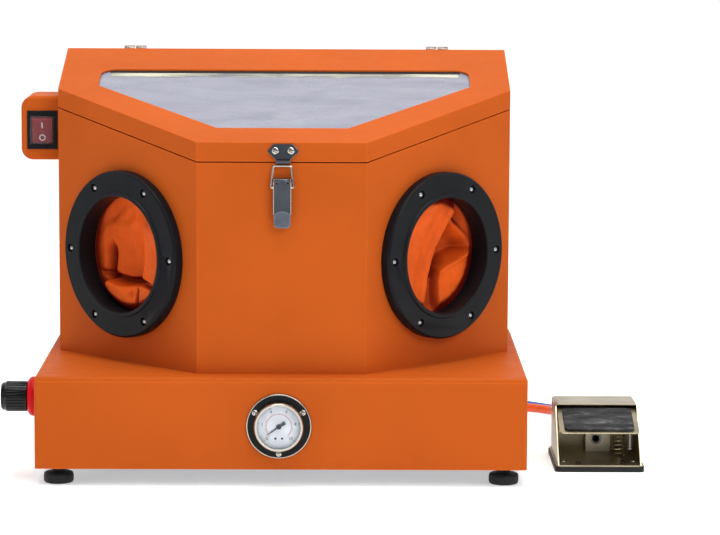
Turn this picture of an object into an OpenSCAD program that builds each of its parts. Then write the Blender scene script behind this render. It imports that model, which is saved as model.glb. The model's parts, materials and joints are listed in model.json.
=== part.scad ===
// Bench-top abrasive blast cabinet with a foot pedal. Millimetres, +Z up, front faces -Y.
// Places are measured from the middle of the base's front face on the floor, then
// at_cabinet() moves the whole set so that its box stands centred on the origin.

/* [Base] */
// Width of the base housing
base_w = 620; // [600:5:660]
// Depth of the base housing
base_d = 420; // [400:5:460]
// Floor to the top of the base
base_top = 139; // [130:1:150]
// Height of the levelling feet
foot_h = 22; // [20:1:26]
// Sheet thickness of the housing
sheet = 2; // [1.5:0.5:2.5]

/* [Cabinet] */
// Half width between the side walls
cab_half = 295.8; // [290:0.2:300]
// Half width of the flat centre panel
centre_half = 106.7; // [100:0.1:112]
// Set-back of the centre panel from the base front
cab_front = 28.5; // [24:0.5:32]
// Position of the rear wall
cab_back = 373.9; // [366:0.1:384]
// Height of the lid seam at the centre panel
seam_z = 406.5; // [400:0.1:415]
// Slope of the lid in degrees
slope = 15.5; // [14:0.5:17]
// Height of the lid skirt
skirt_h = 23.3; // [22:0.1:26]

/* [Gloves] */
// Outer diameter of a glove ring
ring_d = 215; // [205:1:220]
// Clear bore of a glove ring
port_d = 150; // [140:1:152]
// Height of the port centres
port_z = 279.7; // [270:0.1:290]
// Pitch circle of the ring screws
ring_pcd = 190; // [186:1:192]

/* [Window] */
// Half width of the window opening
win_half = 244; // [236:1:246]
// Half width of the opening's lower edge
win_low_half = 83.5; // [78:0.5:88]
// Lower edge of the opening
win_y0 = 78.5; // [74:0.5:84]
// Upper edge of the opening
win_y1 = 292; // [280:1:300]
// Radius of the opening's upper corners
win_r = 20; // [12:1:26]

/* [Controls] */
// Outer diameter of the gauge flange
gauge_d = 81; // [78:1:84]
// Diameter of the gauge bezel
bezel_d = 63; // [60:1:64]
// Diameter of the regulator knob
knob_d = 38.7; // [36:0.1:42]
// Diameter of the red ring behind the knob
red_ring_d = 50.5; // [46:0.5:54]
// Travel of the knob when it is pulled to unlock
knob_pull = 3; // [2:0.5:4]

/* [Pedal] */
// Width of the pedal's rubber base
pedal_w = 115.7; // [110:0.1:120]
// Depth of the pedal's rubber base
pedal_d = 140; // [136:1:146]
// Height of the pedal cover
pedal_h = 77.5; // [72:0.5:80]
// Rise of the treadle in degrees
treadle_rise = 16.6; // [15:0.2:18]

/* [Hidden] */
eps = 0.01;
// Play between a fastener and what it holds, so that each stays a solid of its own.
gap = 0.03;
$fn = 48;
knob_end_x = -356.5;
pedal_x = 410.45;
pedal_y = 100.6;
reach_front = -13.6;
reach_back = base_d + 24;
cab_x = -(knob_end_x + pedal_x + pedal_w / 2) / 2;
cab_y = -(reach_front + reach_back) / 2;
tan_half = tan(22.5);
// How far the base's opening lies inside the cabinet's plan, and its seams inside the bends.
opening_in = 26;
bend_in = 6;
corner_y = cab_front + (cab_half - centre_half);
gasket_t = 1.8;
lid_seam_z = seam_z + gasket_t / cos(slope);
lid_top_z = lid_seam_z + skirt_h / cos(slope);
knuckle_y = cab_back + 6;
// Height of the counterbores that hold the ring screws' heads.
ring_seat = 10.5;
knuckle_z = lid_top_z + tan(slope) * (cab_back - cab_front) - 1.5;
hinge_x = 204.5;
hinge_w = 29.5;
panel_mid = [(centre_half + cab_half) / 2, (cab_front + corner_y) / 2];
flange = 20;
win_side_y0 = 230;
foot_x = 282;
foot_y = [29, 391];
knob_y = 60;
knob_z = 104.3;
// How far the knob's inner end stands off the wall.
knob_gap = 13.2;
gauge_x = -2.7;
gauge_z = 77.7;
latch_x = 0.7;
latch_y = 22;
latch_z = 385;
bail_y = 22.3;
bail_z = 376;
bail_top_z = 403.5;
wire_r = 1.4;
hook_y = 24;
needle_angle = 215;
rocker_tilt = 12;
box_x = [-347.8, -296.3];
box_y = [250, 322];
box_z = [388, 472.8];
rocker_x = -319.8;
rocker_y = 256;
rocker_z = 427.8;
// Places of the window frame's studs, and the way up for the gun's air line.
frame_nut_at = [for (s = [-1, 1], p = [[60, 59.5], [176.8, 140.4], [263, 262], [230, 311], [80, 311]])
    [s * p[0], p[1]]];
line_up_at = [275, 355];
tube_down_at = [30, 335];
// Holes in the base's rear wall: place across, height, radius.
rear_ports = [[-272, 60, 8], [-200, 60, 8], [-40, 60, 6.5], [230, 60, 8.5]];
port_out = 20;
// Height of the dust outlet, and its screws' circle.
dust_z = 420;
dust_pcd = 66;
tread_half = 51.2;
tread_at = [5, 49.5];
pin_at = [130, 60];
tread_flat_z = 70;
spring_at = [29, 68];
spring_r = 8.2;
spring_top = 65;
spring_turns = 10;
// Places of the pedal's screws.
pedal_screw_at = [[-45.2, 30], [45.5, 30], [-26.9, 18.4], [31, 19.4]];
gun_y = 262;
gun_z = 157;
plunger_at = [2, 106];
stop_at = [44, 60];
valve_x = [-11.25, 21.25];
valve_y = [98, 130];
valve_top = 36;
hose_z = 28;
hose_x = [-3, 14];
hose_r = [6, 4];
// Routes of the hoses: from the pedal to the coil, and from the coil to the base's rear.
orange_coil = [150, 525, 0];
orange_run = [[407.45, 242.6, 28], [407.5, 262, 28], [408, 282, 26], [408, 304, 20], [408, 328, 12],
    [408, 352, 7], [408, 378, 6], [408, 406, 6], [407, 434, 6], [405, 460, 6], [400, 484, 6],
    [390, 506, 6], [376, 524, 6], [358, 539, 6], [336, 549, 6], [312, 552, 6], [290, 546, 6],
    [270, 533, 6], [252, 516, 6], [234, 498, 6], [214, 482, 6], [192, 471, 6], [170, 466, 6],
    [150, 465, 6]];
orange_lead = [[210, 525, 39], [211, 508, 40], [214, 492, 43], [219, 476, 49], [225, 460, 56],
    [229, 446, 59.6], [230, 432, 60]];
blue_coil = [10, 540, 0];
blue_run = [[424.45, 242.6, 28], [424.5, 260, 28], [425, 276, 26], [425, 294, 20], [425, 312, 12],
    [425, 332, 6], [425, 354, 4], [426, 378, 4], [426, 404, 4], [426, 430, 4], [425, 456, 4],
    [422, 482, 4], [416, 506, 4], [406, 527, 4], [392, 546, 4], [376, 562, 4], [360, 577, 4],
    [342, 591, 4], [322, 602, 4], [300, 608, 4], [276, 610, 4], [250, 610, 4], [222, 609, 4],
    [194, 608, 4], [166, 607, 4], [138, 606, 4], [110, 603, 4], [84, 597, 4], [58, 590, 4],
    [34, 584, 4], [10, 582, 4]];
blue_lead = [[-32, 540, 30], [-32.5, 524, 30.5], [-33.5, 508, 33], [-35, 492, 39], [-36.5, 476, 47],
    [-38, 461, 55], [-39.5, 447, 59.4], [-40, 432, 60]];
orange = [0.80, 0.36, 0.13];
black = [0.13, 0.13, 0.14];
steel = [0.62, 0.62, 0.64];
rubber = [0.16, 0.16, 0.17];
brass = [0.72, 0.56, 0.27];

// The cabinet's plan, drawn in from its outside by t.
function plan_pts(t) = [
    [-(centre_half - t * tan_half), cab_front + t],
    [centre_half - t * tan_half, cab_front + t],
    [cab_half - t, corner_y + t * tan_half],
    [cab_half - t, cab_back - t],
    [-(cab_half - t), cab_back - t],
    [-(cab_half - t), corner_y + t * tan_half]];

// Where things stand and which way they face.
module at_cabinet() { translate([cab_x, cab_y, 0]) children(); }
module plan(t) { polygon(plan_pts(t)); }
module prism(t, z0, z1) { translate([0, 0, z0]) linear_extrude(z1 - z0) plan(t); }
// A sloped slab of the thickness t whose top passes through z0 at the centre panel.
module slab(z0, t) {
    translate([0, cab_front, z0])
    rotate([slope, 0, 0])
    translate([-400, -200, -t])
    cube([800, 700, t]);
}
module on_panel(side) {
    translate([side * panel_mid[0], panel_mid[1], port_z])
    rotate([0, 0, side * 45])
    rotate([90, 0, 0])
    children();
}
module along_x(x0, x1) { translate([x0, 0, 0]) rotate([90, 0, 90]) linear_extrude(x1 - x0) children(); }
module along_y(y0, y1) {
    translate([0, y1, 0]) rotate([90, 0, 0]) linear_extrude(y1 - y0) children();
}
module rod_x(x0, x1, y, z, r) { translate([x0, y, z]) rotate([0, 90, 0]) cylinder(r = r, h = x1 - x0); }
module rod_y(x, y0, y1, z, r) { translate([x, y1, z]) rotate([90, 0, 0]) cylinder(r = r, h = y1 - y0); }
module block(x, y, z) { translate([x[0], y[0], z[0]]) cube([x[1] - x[0], y[1] - y[0], z[1] - z[0]]); }
module rrect(x, y, r) {
    for (px = [x[0] + r, x[1] - r], py = [y[0] + r, y[1] - r]) translate([px, py]) circle(r);
    translate([x[0] + r, y[0]]) square([x[1] - x[0] - 2 * r, y[1] - y[0]]);
    translate([x[0], y[0] + r]) square([x[1] - x[0], y[1] - y[0] - 2 * r]);
}
// A line of the radius r through the points, its corners eased over the length b.
module wire(pts, r, b) { tube(eased(pts, b), r, 8); }
// A pan head of the radius r on a shank, its seat at the origin, looking along +Z.
module pan_screw(r, head, shank_r, shank) {
    translate([0, 0, gap]) difference() {
        union() {
            cylinder(r = r, h = head * 0.6);
            intersection() {
                cylinder(r = r, h = head);
                translate([0, 0, head - 2.2 * r]) sphere(2.2 * r);
            }
            translate([0, 0, -shank]) cylinder(r = shank_r - gap, h = shank + eps);
        }
        for (a = [0, 90])
            rotate([0, 0, a])
            translate([-r * 0.6, -r * 0.11, head * 0.45])
            cube([r * 1.2, r * 0.22, head]);
    }
}

// ---- Base ----
// The folded housing, parted along hairlines beside its bends so that each plate is convex.
module base_housing() {
    color(orange) at_cabinet() difference() {
        intersection() {
            translate([0, 0, foot_h]) linear_extrude(base_top - foot_h)
                rrect([-base_w / 2, base_w / 2], [0, base_d], 4);
            along_y(-1, base_d + 1) rrect([-base_w / 2, base_w / 2], [foot_h - 20, base_top], 4.5);
            along_x(-base_w, base_w) rrect([0, base_d], [foot_h - 20, base_top], 4.5);
        }
        block([-base_w / 2 + sheet, base_w / 2 - sheet], [sheet, base_d - sheet],
            [foot_h - 1, base_top - sheet]);
        prism(opening_in, base_top - 10, base_top + 1);
        rod_y(gauge_x, -5, 10, gauge_z, 31);
        for (a = [30, 150, 270]) gauge_hole(a);
        rod_x(-base_w / 2 - 5, -base_w / 2 + 5, knob_y, knob_z, 15);
        for (p = rear_ports) rod_y(p[0], base_d - 5, base_d + 5, p[1], p[2]);
        translate(line_up_at) cylinder(r = 5, h = 200);
        block([-base_w, base_w], [-5, base_d + 5], [base_top - bend_in - gap, base_top - bend_in]);
        for (y = [bend_in, base_d - bend_in])
            block([-base_w, base_w], [y - gap, y], [foot_h - 5, base_top - bend_in]);
        for (y = [cab_front + opening_in, corner_y + opening_in * tan_half, cab_back - opening_in])
            block([-base_w, base_w], [y - gap, y], [base_top - bend_in, base_top + 5]);
    }
}
module gauge_hole(a) {
    rod_y(gauge_x + 35 * cos(a), -5, 10, gauge_z + 35 * sin(a), 1.9);
}
module base_floor_plate() {
    color(steel) at_cabinet() difference() {
        block([-base_w / 2 + sheet, base_w / 2 - sheet], [sheet, base_d - sheet],
            [foot_h, foot_h + sheet]);
        for (x = [-foot_x, foot_x], y = foot_y)
            translate([x, y, 0]) cylinder(r = 4.2, h = 60);
        for (i = [0:8]) block([-80 + i * 20, -74 + i * 20], [300, 380], [foot_h - 1, foot_h + 5]);
    }
}
module levelling_feet() {
    rubber_feet();
    foot_studs();
    foot_lock_nuts();
}
module rubber_feet() {
    color(rubber) at_cabinet() for (x = [-foot_x, foot_x], y = foot_y) translate([x, y, 0])
        rotate_extrude() polygon([[4 + gap, 0], [17, 0], [18.4, 1.4], [19, 4], [19, 9.5], [18.2, 12.4],
            [16, 13.6], [9.6, 14.2], [8.6, 15.5], [8.6, foot_h], [4 + gap, foot_h]]);
}
module foot_studs() {
    color(steel) at_cabinet() for (x = [-foot_x, foot_x], y = foot_y) translate([x, y, 2])
        cylinder(r = 4, h = 28.5);
}
module foot_lock_nuts() {
    color(steel) at_cabinet() for (x = [-foot_x, foot_x], y = foot_y)
        translate([x, y, foot_h + sheet]) difference() {
            cylinder(d = 15, h = 6.5, $fn = 6);
            translate([0, 0, -1]) cylinder(r = 4 + gap, h = 9);
        }
}
// The hopper hangs in the base's opening: a rim, six upright walls, two slopes and a floor.
module hopper() {
    color(orange) at_cabinet() difference() {
        union() {
            prism(14, base_top, base_top + sheet);
            hopper_solid(0);
        }
        hopper_solid(sheet);
        translate(line_up_at) cylinder(r = 5, h = 200);
        hopper_hairlines(base_top - 0.5);
    }
}
module hopper_solid(t) {
    half = cab_half - opening_in - t;
    intersection() {
        prism(opening_in + t, 30, base_top + sheet + t);
        along_y(0, base_d)
            polygon([[-20 + t, 40 + t], [20 - t, 40 + t], [half, base_top - 3],
                [half, base_top + 9], [-half, base_top + 9], [-half, base_top - 3]]);
    }
}
// Cuts that part the hopper into convex plates; its rim begins at z.
module hopper_hairlines(z) {
    inner = opening_in + sheet + 0.5;
    difference() {
        prism(inner, 30, z);
        prism(inner + gap, 29, z + 1);
    }
    for (s = [-1, 1]) block([s * 19 - gap, s * 19], [cab_front + inner, cab_back - inner], [30, 60]);
    block([-base_w, base_w], [0, base_d], [z - gap, z]);
    block([-base_w, base_w], [cab_front + inner - gap, cab_front + inner], [30, base_top + 9]);
    for (y = [corner_y + inner * tan_half, cab_back - inner], s = [-1, 1])
        block(s > 0 ? [cab_half - inner - 0.1, base_w] : [-base_w, -(cab_half - inner - 0.1)],
            [y, y + gap], [30, base_top + 9]);
}
module work_grate() {
    color(steel) at_cabinet() translate([0, 0, base_top + sheet]) linear_extrude(2) difference() {
        plan(6);
        translate(line_up_at) circle(5);
        translate(tube_down_at) circle(5.5);
        intersection() {
            plan(30);
            for (i = [-12:12], j = [0:3])
                translate([i * 20 - 5, 46 + j * 76]) square([10, 66]);
        }
    }
}

// ---- Cabinet ----
module cabinet_body() {
    color(orange) at_cabinet() difference() {
        intersection() {
            union() {
                difference() {
                    prism(0, base_top, 600);
                    prism(sheet, base_top - 1, 601);
                }
                difference() {
                    prism(0, base_top, base_top + sheet);
                    prism(13, base_top - 1, base_top + 5);
                }
                difference() {
                    intersection() {
                        prism(0, base_top, 600);
                        slab(seam_z, sheet);
                    }
                    prism(flange, base_top - 1, 601);
                }
            }
            slab(seam_z, 500);
        }
        for (s = [-1, 1]) on_panel(s) {
            translate([0, 0, -20]) cylinder(d = port_d + 13, h = 40);
            for (a = [0:60:300]) rotate([0, 0, a]) translate([ring_pcd / 2, 0, -10])
                cylinder(r = 2.1, h = 20);
        }
        rod_y(0, cab_back - 10, cab_back + 10, dust_z, 27);
        for (a = [45:90:315]) rod_y(dust_pcd / 2 * cos(a), cab_back - 10, cab_back + 10,
            dust_z + dust_pcd / 2 * sin(a), 1.9);
        rod_x(-cab_half - 5, -cab_half + 5, 290, 430, 9);
    }
}
module glove_ring(side) {
    r = port_d / 2;
    color(black) at_cabinet() on_panel(side) difference() {
        rotate_extrude() polygon([[r, -12], [r + 4.5, -12], [r + 4.5, 0], [ring_d / 2, 0],
            [ring_d / 2, 11.5], [ring_d / 2 - 2.5, 14], [r + 6, 14], [r + 5, 16], [r + 1, 16],
            [r, 15]]);
        for (a = [0:60:300]) rotate([0, 0, a]) translate([ring_pcd / 2, 0, 0]) {
            translate([0, 0, -1]) cylinder(r = 2.1, h = 20);
            translate([0, 0, ring_seat]) cylinder(r = 5.4, h = 9);
        }
    }
}
module glove_ring_fasteners() {
    glove_ring_screws();
    glove_ring_nuts();
}
module glove_ring_screws() {
    color(black) at_cabinet() for (s = [-1, 1], a = [0:60:300]) on_panel(s)
        rotate([0, 0, a])
        translate([ring_pcd / 2, 0, ring_seat])
        pan_screw(3.6, 2.4, 1.9, ring_seat + 4);
}
module glove_ring_nuts() {
    color(steel) at_cabinet() for (s = [-1, 1], a = [0:60:300]) on_panel(s)
        rotate([0, 0, a]) translate([ring_pcd / 2, 0, -5.2]) difference() {
            cylinder(d = 8, h = 3.2, $fn = 6);
            translate([0, 0, -1]) cylinder(r = 1.9 + gap, h = 6);
        }
}
// A long glove: a hollow sleeve behind the ring, closed where its empty arm folds down.
module glove(side) {
    r = port_d / 2 + 4.5;
    color([0.88, 0.34, 0.14]) at_cabinet() on_panel(side) {
        rotate_extrude() polygon([[r, -12], [r + 1.2, -12], [r + 1.2, -4], [r, -4]]);
        rotate_extrude() polygon([[r + 1.2, -12], [r - 8, -70], [r - 30, -92], [0, -98],
            [0, -95.5], [r - 31, -89.5], [r - 10.4, -69], [r - 1.4, -12]]);
    }
    color([0.88, 0.34, 0.14]) at_cabinet() glove_arm(side);
}
module glove_arm(side) {
    s = side;
    p = panel_mid + [-66, 66];
    translate([s * p[0], p[1], 0]) rotate([0, 0, s * 45]) translate([0, 14, 0])
        rotate_extrude() polygon([[0, 148], [12, 149], [20, 156], [23, 168], [21, 190], [19, 212],
            [22, 240], [0, 242]]);
}
module glove_clamps() {
    r = port_d / 2 + 4.5 + 1.2;
    color(steel) at_cabinet() for (s = [-1, 1]) on_panel(s)
        translate([0, 0, -10]) difference() {
            union() {
                cylinder(r = r + 0.9, h = 6);
                translate([-7, r - 1, 0]) cube([14, 7, 6]);
            }
            translate([0, 0, -1]) cylinder(r = r, h = 8);
        }
}
module lid_gasket() {
    color(rubber) at_cabinet() intersection() {
        difference() {
            prism(3, 300, 600);
            prism(flange - 1, 299, 601);
        }
        slab(lid_seam_z - gap, gasket_t - 2 * gap);
    }
}

// ---- Lid ----
module lid_shell() {
    color(orange) at_cabinet() difference() {
        intersection() {
            prism(0, 300, 700);
            slab(lid_top_z, skirt_h);
        }
        intersection() {
            prism(sheet, 299, 701);
            slab(lid_top_z - sheet / cos(slope), skirt_h - 2 * sheet);
        }
        prism_shape(300, 520) plan(flange);
        translate([0, 0, 300]) linear_extrude(400) window_plan();
        for (s = [-1, 1]) rod_y(latch_x + 1 + s * 9.8, cab_front - 5, cab_front + 5, 422.3, 1.9);
    }
}
module prism_shape(z0, z1) {
    intersection() {
        translate([0, 0, z0]) linear_extrude(z1 - z0) children();
        slab(lid_top_z - (skirt_h / 2) / cos(slope), 60);
    }
}
module window_plan() {
    polygon([[-win_low_half, win_y0], [win_low_half, win_y0], [win_half, win_side_y0],
        [win_half, win_y1 - win_r], [win_half - win_r, win_y1], [-win_half + win_r, win_y1],
        [-win_half, win_y1 - win_r], [-win_half, win_side_y0]]);
    for (s = [-1, 1]) translate([s * (win_half - win_r), win_y1 - win_r]) circle(win_r);
}
// The opening's outline, drawn out by m.
module window_rim(m) {
    k = m * tan_half;
    polygon([[-win_low_half - k, win_y0 - m], [win_low_half + k, win_y0 - m],
        [win_half + m, win_side_y0 - k], [win_half + m, win_y1 + m],
        [-win_half - m, win_y1 + m], [-win_half - m, win_side_y0 - k]]);
}
// A layer of the window, from n0 to n1 below the lid's top, measured square to it.
module window_layer(n0, n1) {
    intersection() {
        translate([0, 0, 300]) linear_extrude(400) children();
        slab(lid_top_z - n0 / cos(slope), n1 - n0);
    }
}
module window_gasket() {
    color(rubber) at_cabinet() window_layer(2, 3.5) difference() {
        window_rim(12);
        window_rim(1);
    }
}
module window_film() {
    color([0.80, 0.82, 0.88]) at_cabinet() window_layer(3, 3.5) window_rim(0);
}
module window_glass() {
    color([0.75, 0.80, 0.86, 0.6]) at_cabinet() window_layer(3.5, 8.5) window_rim(12);
}
module window_frame() {
    clamp_frame();
    window_studs();
}
module clamp_frame() {
    color(orange) at_cabinet() difference() {
        window_layer(8.5, 10.5) difference() {
            window_rim(26);
            window_rim(2);
        }
        for (p = frame_nut_at) translate([p[0], p[1], 300]) cylinder(r = 2.6, h = 300);
    }
}
module window_studs() {
    color(steel) at_cabinet() for (p = frame_nut_at) on_lid(p) {
        translate([0, 0, -16]) cylinder(r = 2, h = 14 - gap);
        translate([0, 0, -10.5 - gap - 3.2]) cylinder(d = 8, h = 3.2, $fn = 6);
    }
}
module on_lid(p) {
    translate([p[0], p[1], lid_top_z + tan(slope) * (p[1] - cab_front)])
    rotate([slope, 0, 0])
    children();
}

// ---- Lid hinges ----
module hinge_fixed_leaves() {
    color(black) at_cabinet() for (s = [-hinge_x, hinge_x]) difference() {
        union() {
            block([s - hinge_w / 2, s + hinge_w / 2], [cab_back, cab_back + 3], [472, 500]);
            block([s - hinge_w / 2, s - 0.8], [cab_back + 1, cab_back + 3], [499, knuckle_z]);
            rod_x(s - hinge_w / 2, s - 0.8, knuckle_y, knuckle_z, 5);
        }
        rod_x(s - hinge_w, s + hinge_w, knuckle_y, knuckle_z, 2.5);
    }
}
module hinge_lid_leaves() {
    color(black) at_cabinet() for (s = [-hinge_x, hinge_x]) difference() {
        union() {
            block([s + 0.8, s + hinge_w / 2], [cab_back, cab_back + 2], [508, knuckle_z]);
            rod_x(s + 0.8, s + hinge_w / 2, knuckle_y, knuckle_z, 5);
        }
        rod_x(s - hinge_w, s + hinge_w, knuckle_y, knuckle_z, 2.55);
    }
}
module hinge_hardware() {
    hinge_pins();
    hinge_screws();
}
module hinge_pins() {
    color(steel) at_cabinet() for (s = [-hinge_x, hinge_x])
        rod_x(s - hinge_w / 2 - 0.5, s + hinge_w / 2 + 0.5, knuckle_y, knuckle_z, 2.5);
}
module hinge_screws() {
    color(steel) at_cabinet() for (s = [-hinge_x, hinge_x], dx = [-9, 9])
        translate([s + dx, cab_back + 3, 486]) rotate([-90, 0, 0]) pan_screw(3.6, 2.2, 1.8, 0);
}

// ---- Draw latch ----
module latch_strike() {
    strike_plate();
    strike_screws();
}
module strike_plate() {
    x = latch_x + 1;
    color([0.35, 0.34, 0.36]) at_cabinet() difference() {
        union() {
            along_y(cab_front - 2, cab_front) translate([x, 0])
                polygon([[-9, 411], [9, 411], [12, 413.4], [15.8, 417.6], [19.2, 420.8], [19.4, 422.4],
                    [18.4, 423.8], [13, 430], [10, 430.8], [-10, 430.8], [-13, 430], [-18.4, 423.8],
                    [-19.4, 422.4], [-19.2, 420.8], [-15.8, 417.6], [-12, 413.4]]);
            block([x - 9, x + 9], [cab_front - 2, cab_front], [409.5, 414]);
            along_x(x - 9, x + 9) difference() {
                translate([hook_y, 409.5]) circle(4);
                translate([hook_y, 409.5]) circle(2);
                translate([hook_y - 6, 409.5]) square([12, 6]);
            }
            block([x - 9, x + 9], [hook_y - 4, hook_y - 2], [409.5 - eps, 411]);
            block([x - 9, x + 9], [hook_y + 2, hook_y + 4], [409.5 - eps, 411]);
        }
        for (s = [-1, 1]) rod_y(x + s * 9.8, 0, 60, 422.3, 1.8);
    }
}
module strike_screws() {
    color(steel) at_cabinet() for (s = [-1, 1])
        translate([latch_x + 1 + s * 9.8, cab_front - 2, 422.3]) rotate([90, 0, 0])
        pan_screw(4.5, 2.2, 1.8, 4);
}
module latch_base() {
    latch_bracket();
    latch_pin();
}
module latch_bracket() {
    color([0.45, 0.44, 0.46]) at_cabinet() {
        block([latch_x - 8, latch_x + 8], [cab_front - 2, cab_front], [350, 386]);
        for (s = [-1, 1]) along_x(latch_x + s * 7 - 1, latch_x + s * 7 + 1) difference() {
            union() {
                translate([latch_y, latch_z]) circle(3.2);
                translate([latch_y, latch_z - 3.2]) square([cab_front - latch_y - 1, 6.4]);
            }
            translate([latch_y, latch_z]) circle(1.5);
        }
    }
}
module latch_pin() {
    color(steel) at_cabinet()
        rod_x(latch_x - 11.2, latch_x + 11.2, latch_y, latch_z, 1.5 - gap);
}
module latch_lever() {
    w = 11.2;
    color([0.50, 0.49, 0.51]) at_cabinet() difference() {
        union() {
            along_y(18, 19.6) {
                translate([latch_x - w, 343]) square([2 * w, latch_z - 343 + 0.5]);
                rrect([latch_x - 10.4, latch_x + 10.4], [325.8, 350], 5);
            }
            for (s = [-1, 1]) along_x(latch_x + s * (w - 0.75) - 0.75, latch_x + s * (w - 0.75) + 0.75) {
                polygon([[18, 348], [20.5, 348], [24.6, 369], [24.6, 379], [22, latch_z], [18, latch_z]]);
                translate([latch_y, latch_z]) circle(3);
            }
            rod_x(latch_x - 5.7, latch_x + 5.7, latch_y, latch_z, 3);
            block([latch_x - 5.7, latch_x + 5.7], [18, 20], [latch_z - 3, latch_z + 0.5]);
        }
        rod_x(latch_x - 20, latch_x + 20, latch_y, latch_z, 1.55);
        rod_x(latch_x - 20, latch_x + 20, bail_y, bail_z, wire_r + 0.05);
        for (s = [-1, 1]) block([latch_x + s * 7 - 1.3, latch_x + s * 7 + 1.3], [10, 30],
            [latch_z - 4.4, latch_z + 5]);
    }
}
bail_low = 14.2;
bail_high = 11.4;
module latch_bail() {
    color([0.75, 0.75, 0.77]) at_cabinet() translate([latch_x, 0, 0]) {
        tube(eased([[-10.9, bail_y, bail_z], [-bail_low, bail_y, bail_z],
            [-bail_high, hook_y, bail_top_z], [bail_high, hook_y, bail_top_z],
            [bail_low, bail_y, bail_z], [10.9, bail_y, bail_z]], 2.4), wire_r, 12);
        for (s = [-1, 1]) rod_x(s * 10.1 - 1.5, s * 10.1 + 1.5, bail_y, bail_z, wire_r);
    }
}

// ---- Switch box ----
module switch_box() {
    color(orange) at_cabinet() difference() {
        union() {
            intersection() {
                along_y(box_y[0], box_y[1]) difference() {
                    rrect([box_x[0], box_x[1] + 40], box_z, 17);
                    translate([box_x[1], 300]) square([60, 300]);
                }
                along_x(box_x[0] - 5, box_x[1]) rrect([box_y[0], box_y[1] + 10], box_z, 5);
                translate([0, 0, 300]) linear_extrude(300)
                    rrect([box_x[0], box_x[1] + 20], box_y, 5);
            }
            block([box_x[1] - eps, -cab_half], [256, 318], [394, 455]);
        }
        block([box_x[0] + 3, box_x[1] + 5], [box_y[0] + 3, box_y[1] - 3], [402, 453]);
        block([rocker_x - 17, rocker_x + 17], [box_y[0] - 5, box_y[0] + 5], [405, 451]);
        rod_x(-300, -290, 290, 430, 8);
    }
}
module switch_bezel() {
    color(black) at_cabinet() difference() {
        union() {
            block([rocker_x - 19.9, rocker_x + 19.9], [box_y[0] - 1.5, box_y[0]], [402.5, 453.1]);
            block([rocker_x - 17, rocker_x + 17], [box_y[0] - eps, box_y[0] + 22], [405, 451]);
        }
        block([rocker_x - 14.2, rocker_x + 14.2], [box_y[0] - 5, box_y[0] + 19],
            [rocker_z - 18.2, rocker_z + 18.2]);
    }
    color(black) at_cabinet() for (s = [-1, 1])
        rod_x(rocker_x + s * 13.2 - 1.3, rocker_x + s * 13.2 + 1.3, rocker_y, rocker_z, 1.5);
}
module rocker() {
    color([0.45, 0.10, 0.12]) at_cabinet() translate([0, rocker_y, rocker_z])
        rotate([rocker_tilt, 0, 0]) difference() {
            along_x(rocker_x - 13.2, rocker_x + 13.2)
                polygon([[-7, 0], [-10.2, 15.2], [-3, 17.4], [3, 17.4], [7, 8], [7, -8],
                    [3, -17.4], [-3, -17.4], [-10.2, -15.2]]);
            rod_x(rocker_x - 20, rocker_x + 20, 0, 0, 1.6);
        }
}
module switch_boot() {
    x = [rocker_x - 15.7, rocker_x + 15.7];
    color([0.85, 0.85, 0.88, 0.4]) at_cabinet() difference() {
        intersection() {
            block(x, [box_y[0] - 9.5, box_y[0] - 1.5], [409.3, 446.3]);
            along_x(x[0] - 1, x[1] + 1) rrect([box_y[0] - 9.5, box_y[0] + 10], [409.3, 446.3], 4);
        }
        block([x[0] + 1, x[1] - 1], [box_y[0] - 8.5, box_y[0]], [410.3, 445.3]);
    }
}

// ---- Light, dust outlet ----
module light_bar() {
    light_case();
    light_lens();
}
module light_case() {
    color([0.7, 0.7, 0.72]) at_cabinet() block([-150, 150], [344, cab_back - sheet], [462, 474]);
}
module light_lens() {
    color([0.92, 0.94, 0.96]) at_cabinet() block([-146, 146], [348, 368], [458, 462 - gap]);
}
module dust_outlet() {
    dust_spigot();
    dust_screws();
}
module dust_spigot() {
    color(black) at_cabinet() translate([0, cab_back, dust_z]) rotate([-90, 0, 0]) difference() {
        union() {
            cylinder(r = 38, h = 3);
            translate([0, 0, -6]) cylinder(r = 26.5, h = 44);
        }
        translate([0, 0, -7]) cylinder(r = 24, h = 60);
        for (a = [45:90:315]) rotate([0, 0, a]) translate([dust_pcd / 2, 0, -1]) cylinder(r = 1.9, h = 6);
    }
}
module dust_screws() {
    color(steel) at_cabinet() translate([0, cab_back + 3, dust_z]) rotate([-90, 0, 0])
        for (a = [45:90:315]) rotate([0, 0, a]) translate([dust_pcd / 2, 0, 0])
            pan_screw(3.5, 2.2, 1.8, 5);
}

// ---- Gauge ----
module gauge_case() {
    color(black) at_cabinet() difference() {
        union() {
            rod_y(gauge_x, -2.5, 0, gauge_z, gauge_d / 2);
            rod_y(gauge_x, -12, 28, gauge_z, 30.5);
            rod_y(gauge_x, 28, 44, gauge_z, 6.5);
        }
        rod_y(gauge_x, -14, -4.5, gauge_z, 28.5);
        rod_y(gauge_x, 36, 48, gauge_z, 3);
        for (a = [30, 150, 270]) gauge_hole(a);
    }
}
module gauge_bezel() {
    gauge_rim();
    gauge_screws();
}
module gauge_rim() {
    color(steel) at_cabinet() translate([gauge_x, 0, gauge_z]) rotate([90, 0, 0])
        rotate_extrude() polygon([[30.5, 2.5], [bezel_d / 2, 2.5], [bezel_d / 2, 11], [30, 13.6],
            [27.6, 13.6], [27, 12], [30.5, 12]]);
}
module gauge_dial() {
    color([0.93, 0.94, 0.96]) at_cabinet() difference() {
        rod_y(gauge_x, -5.3, -4.5, gauge_z, 28);
        rod_y(gauge_x, -6, -4, gauge_z, 1.6);
    }
}
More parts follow.
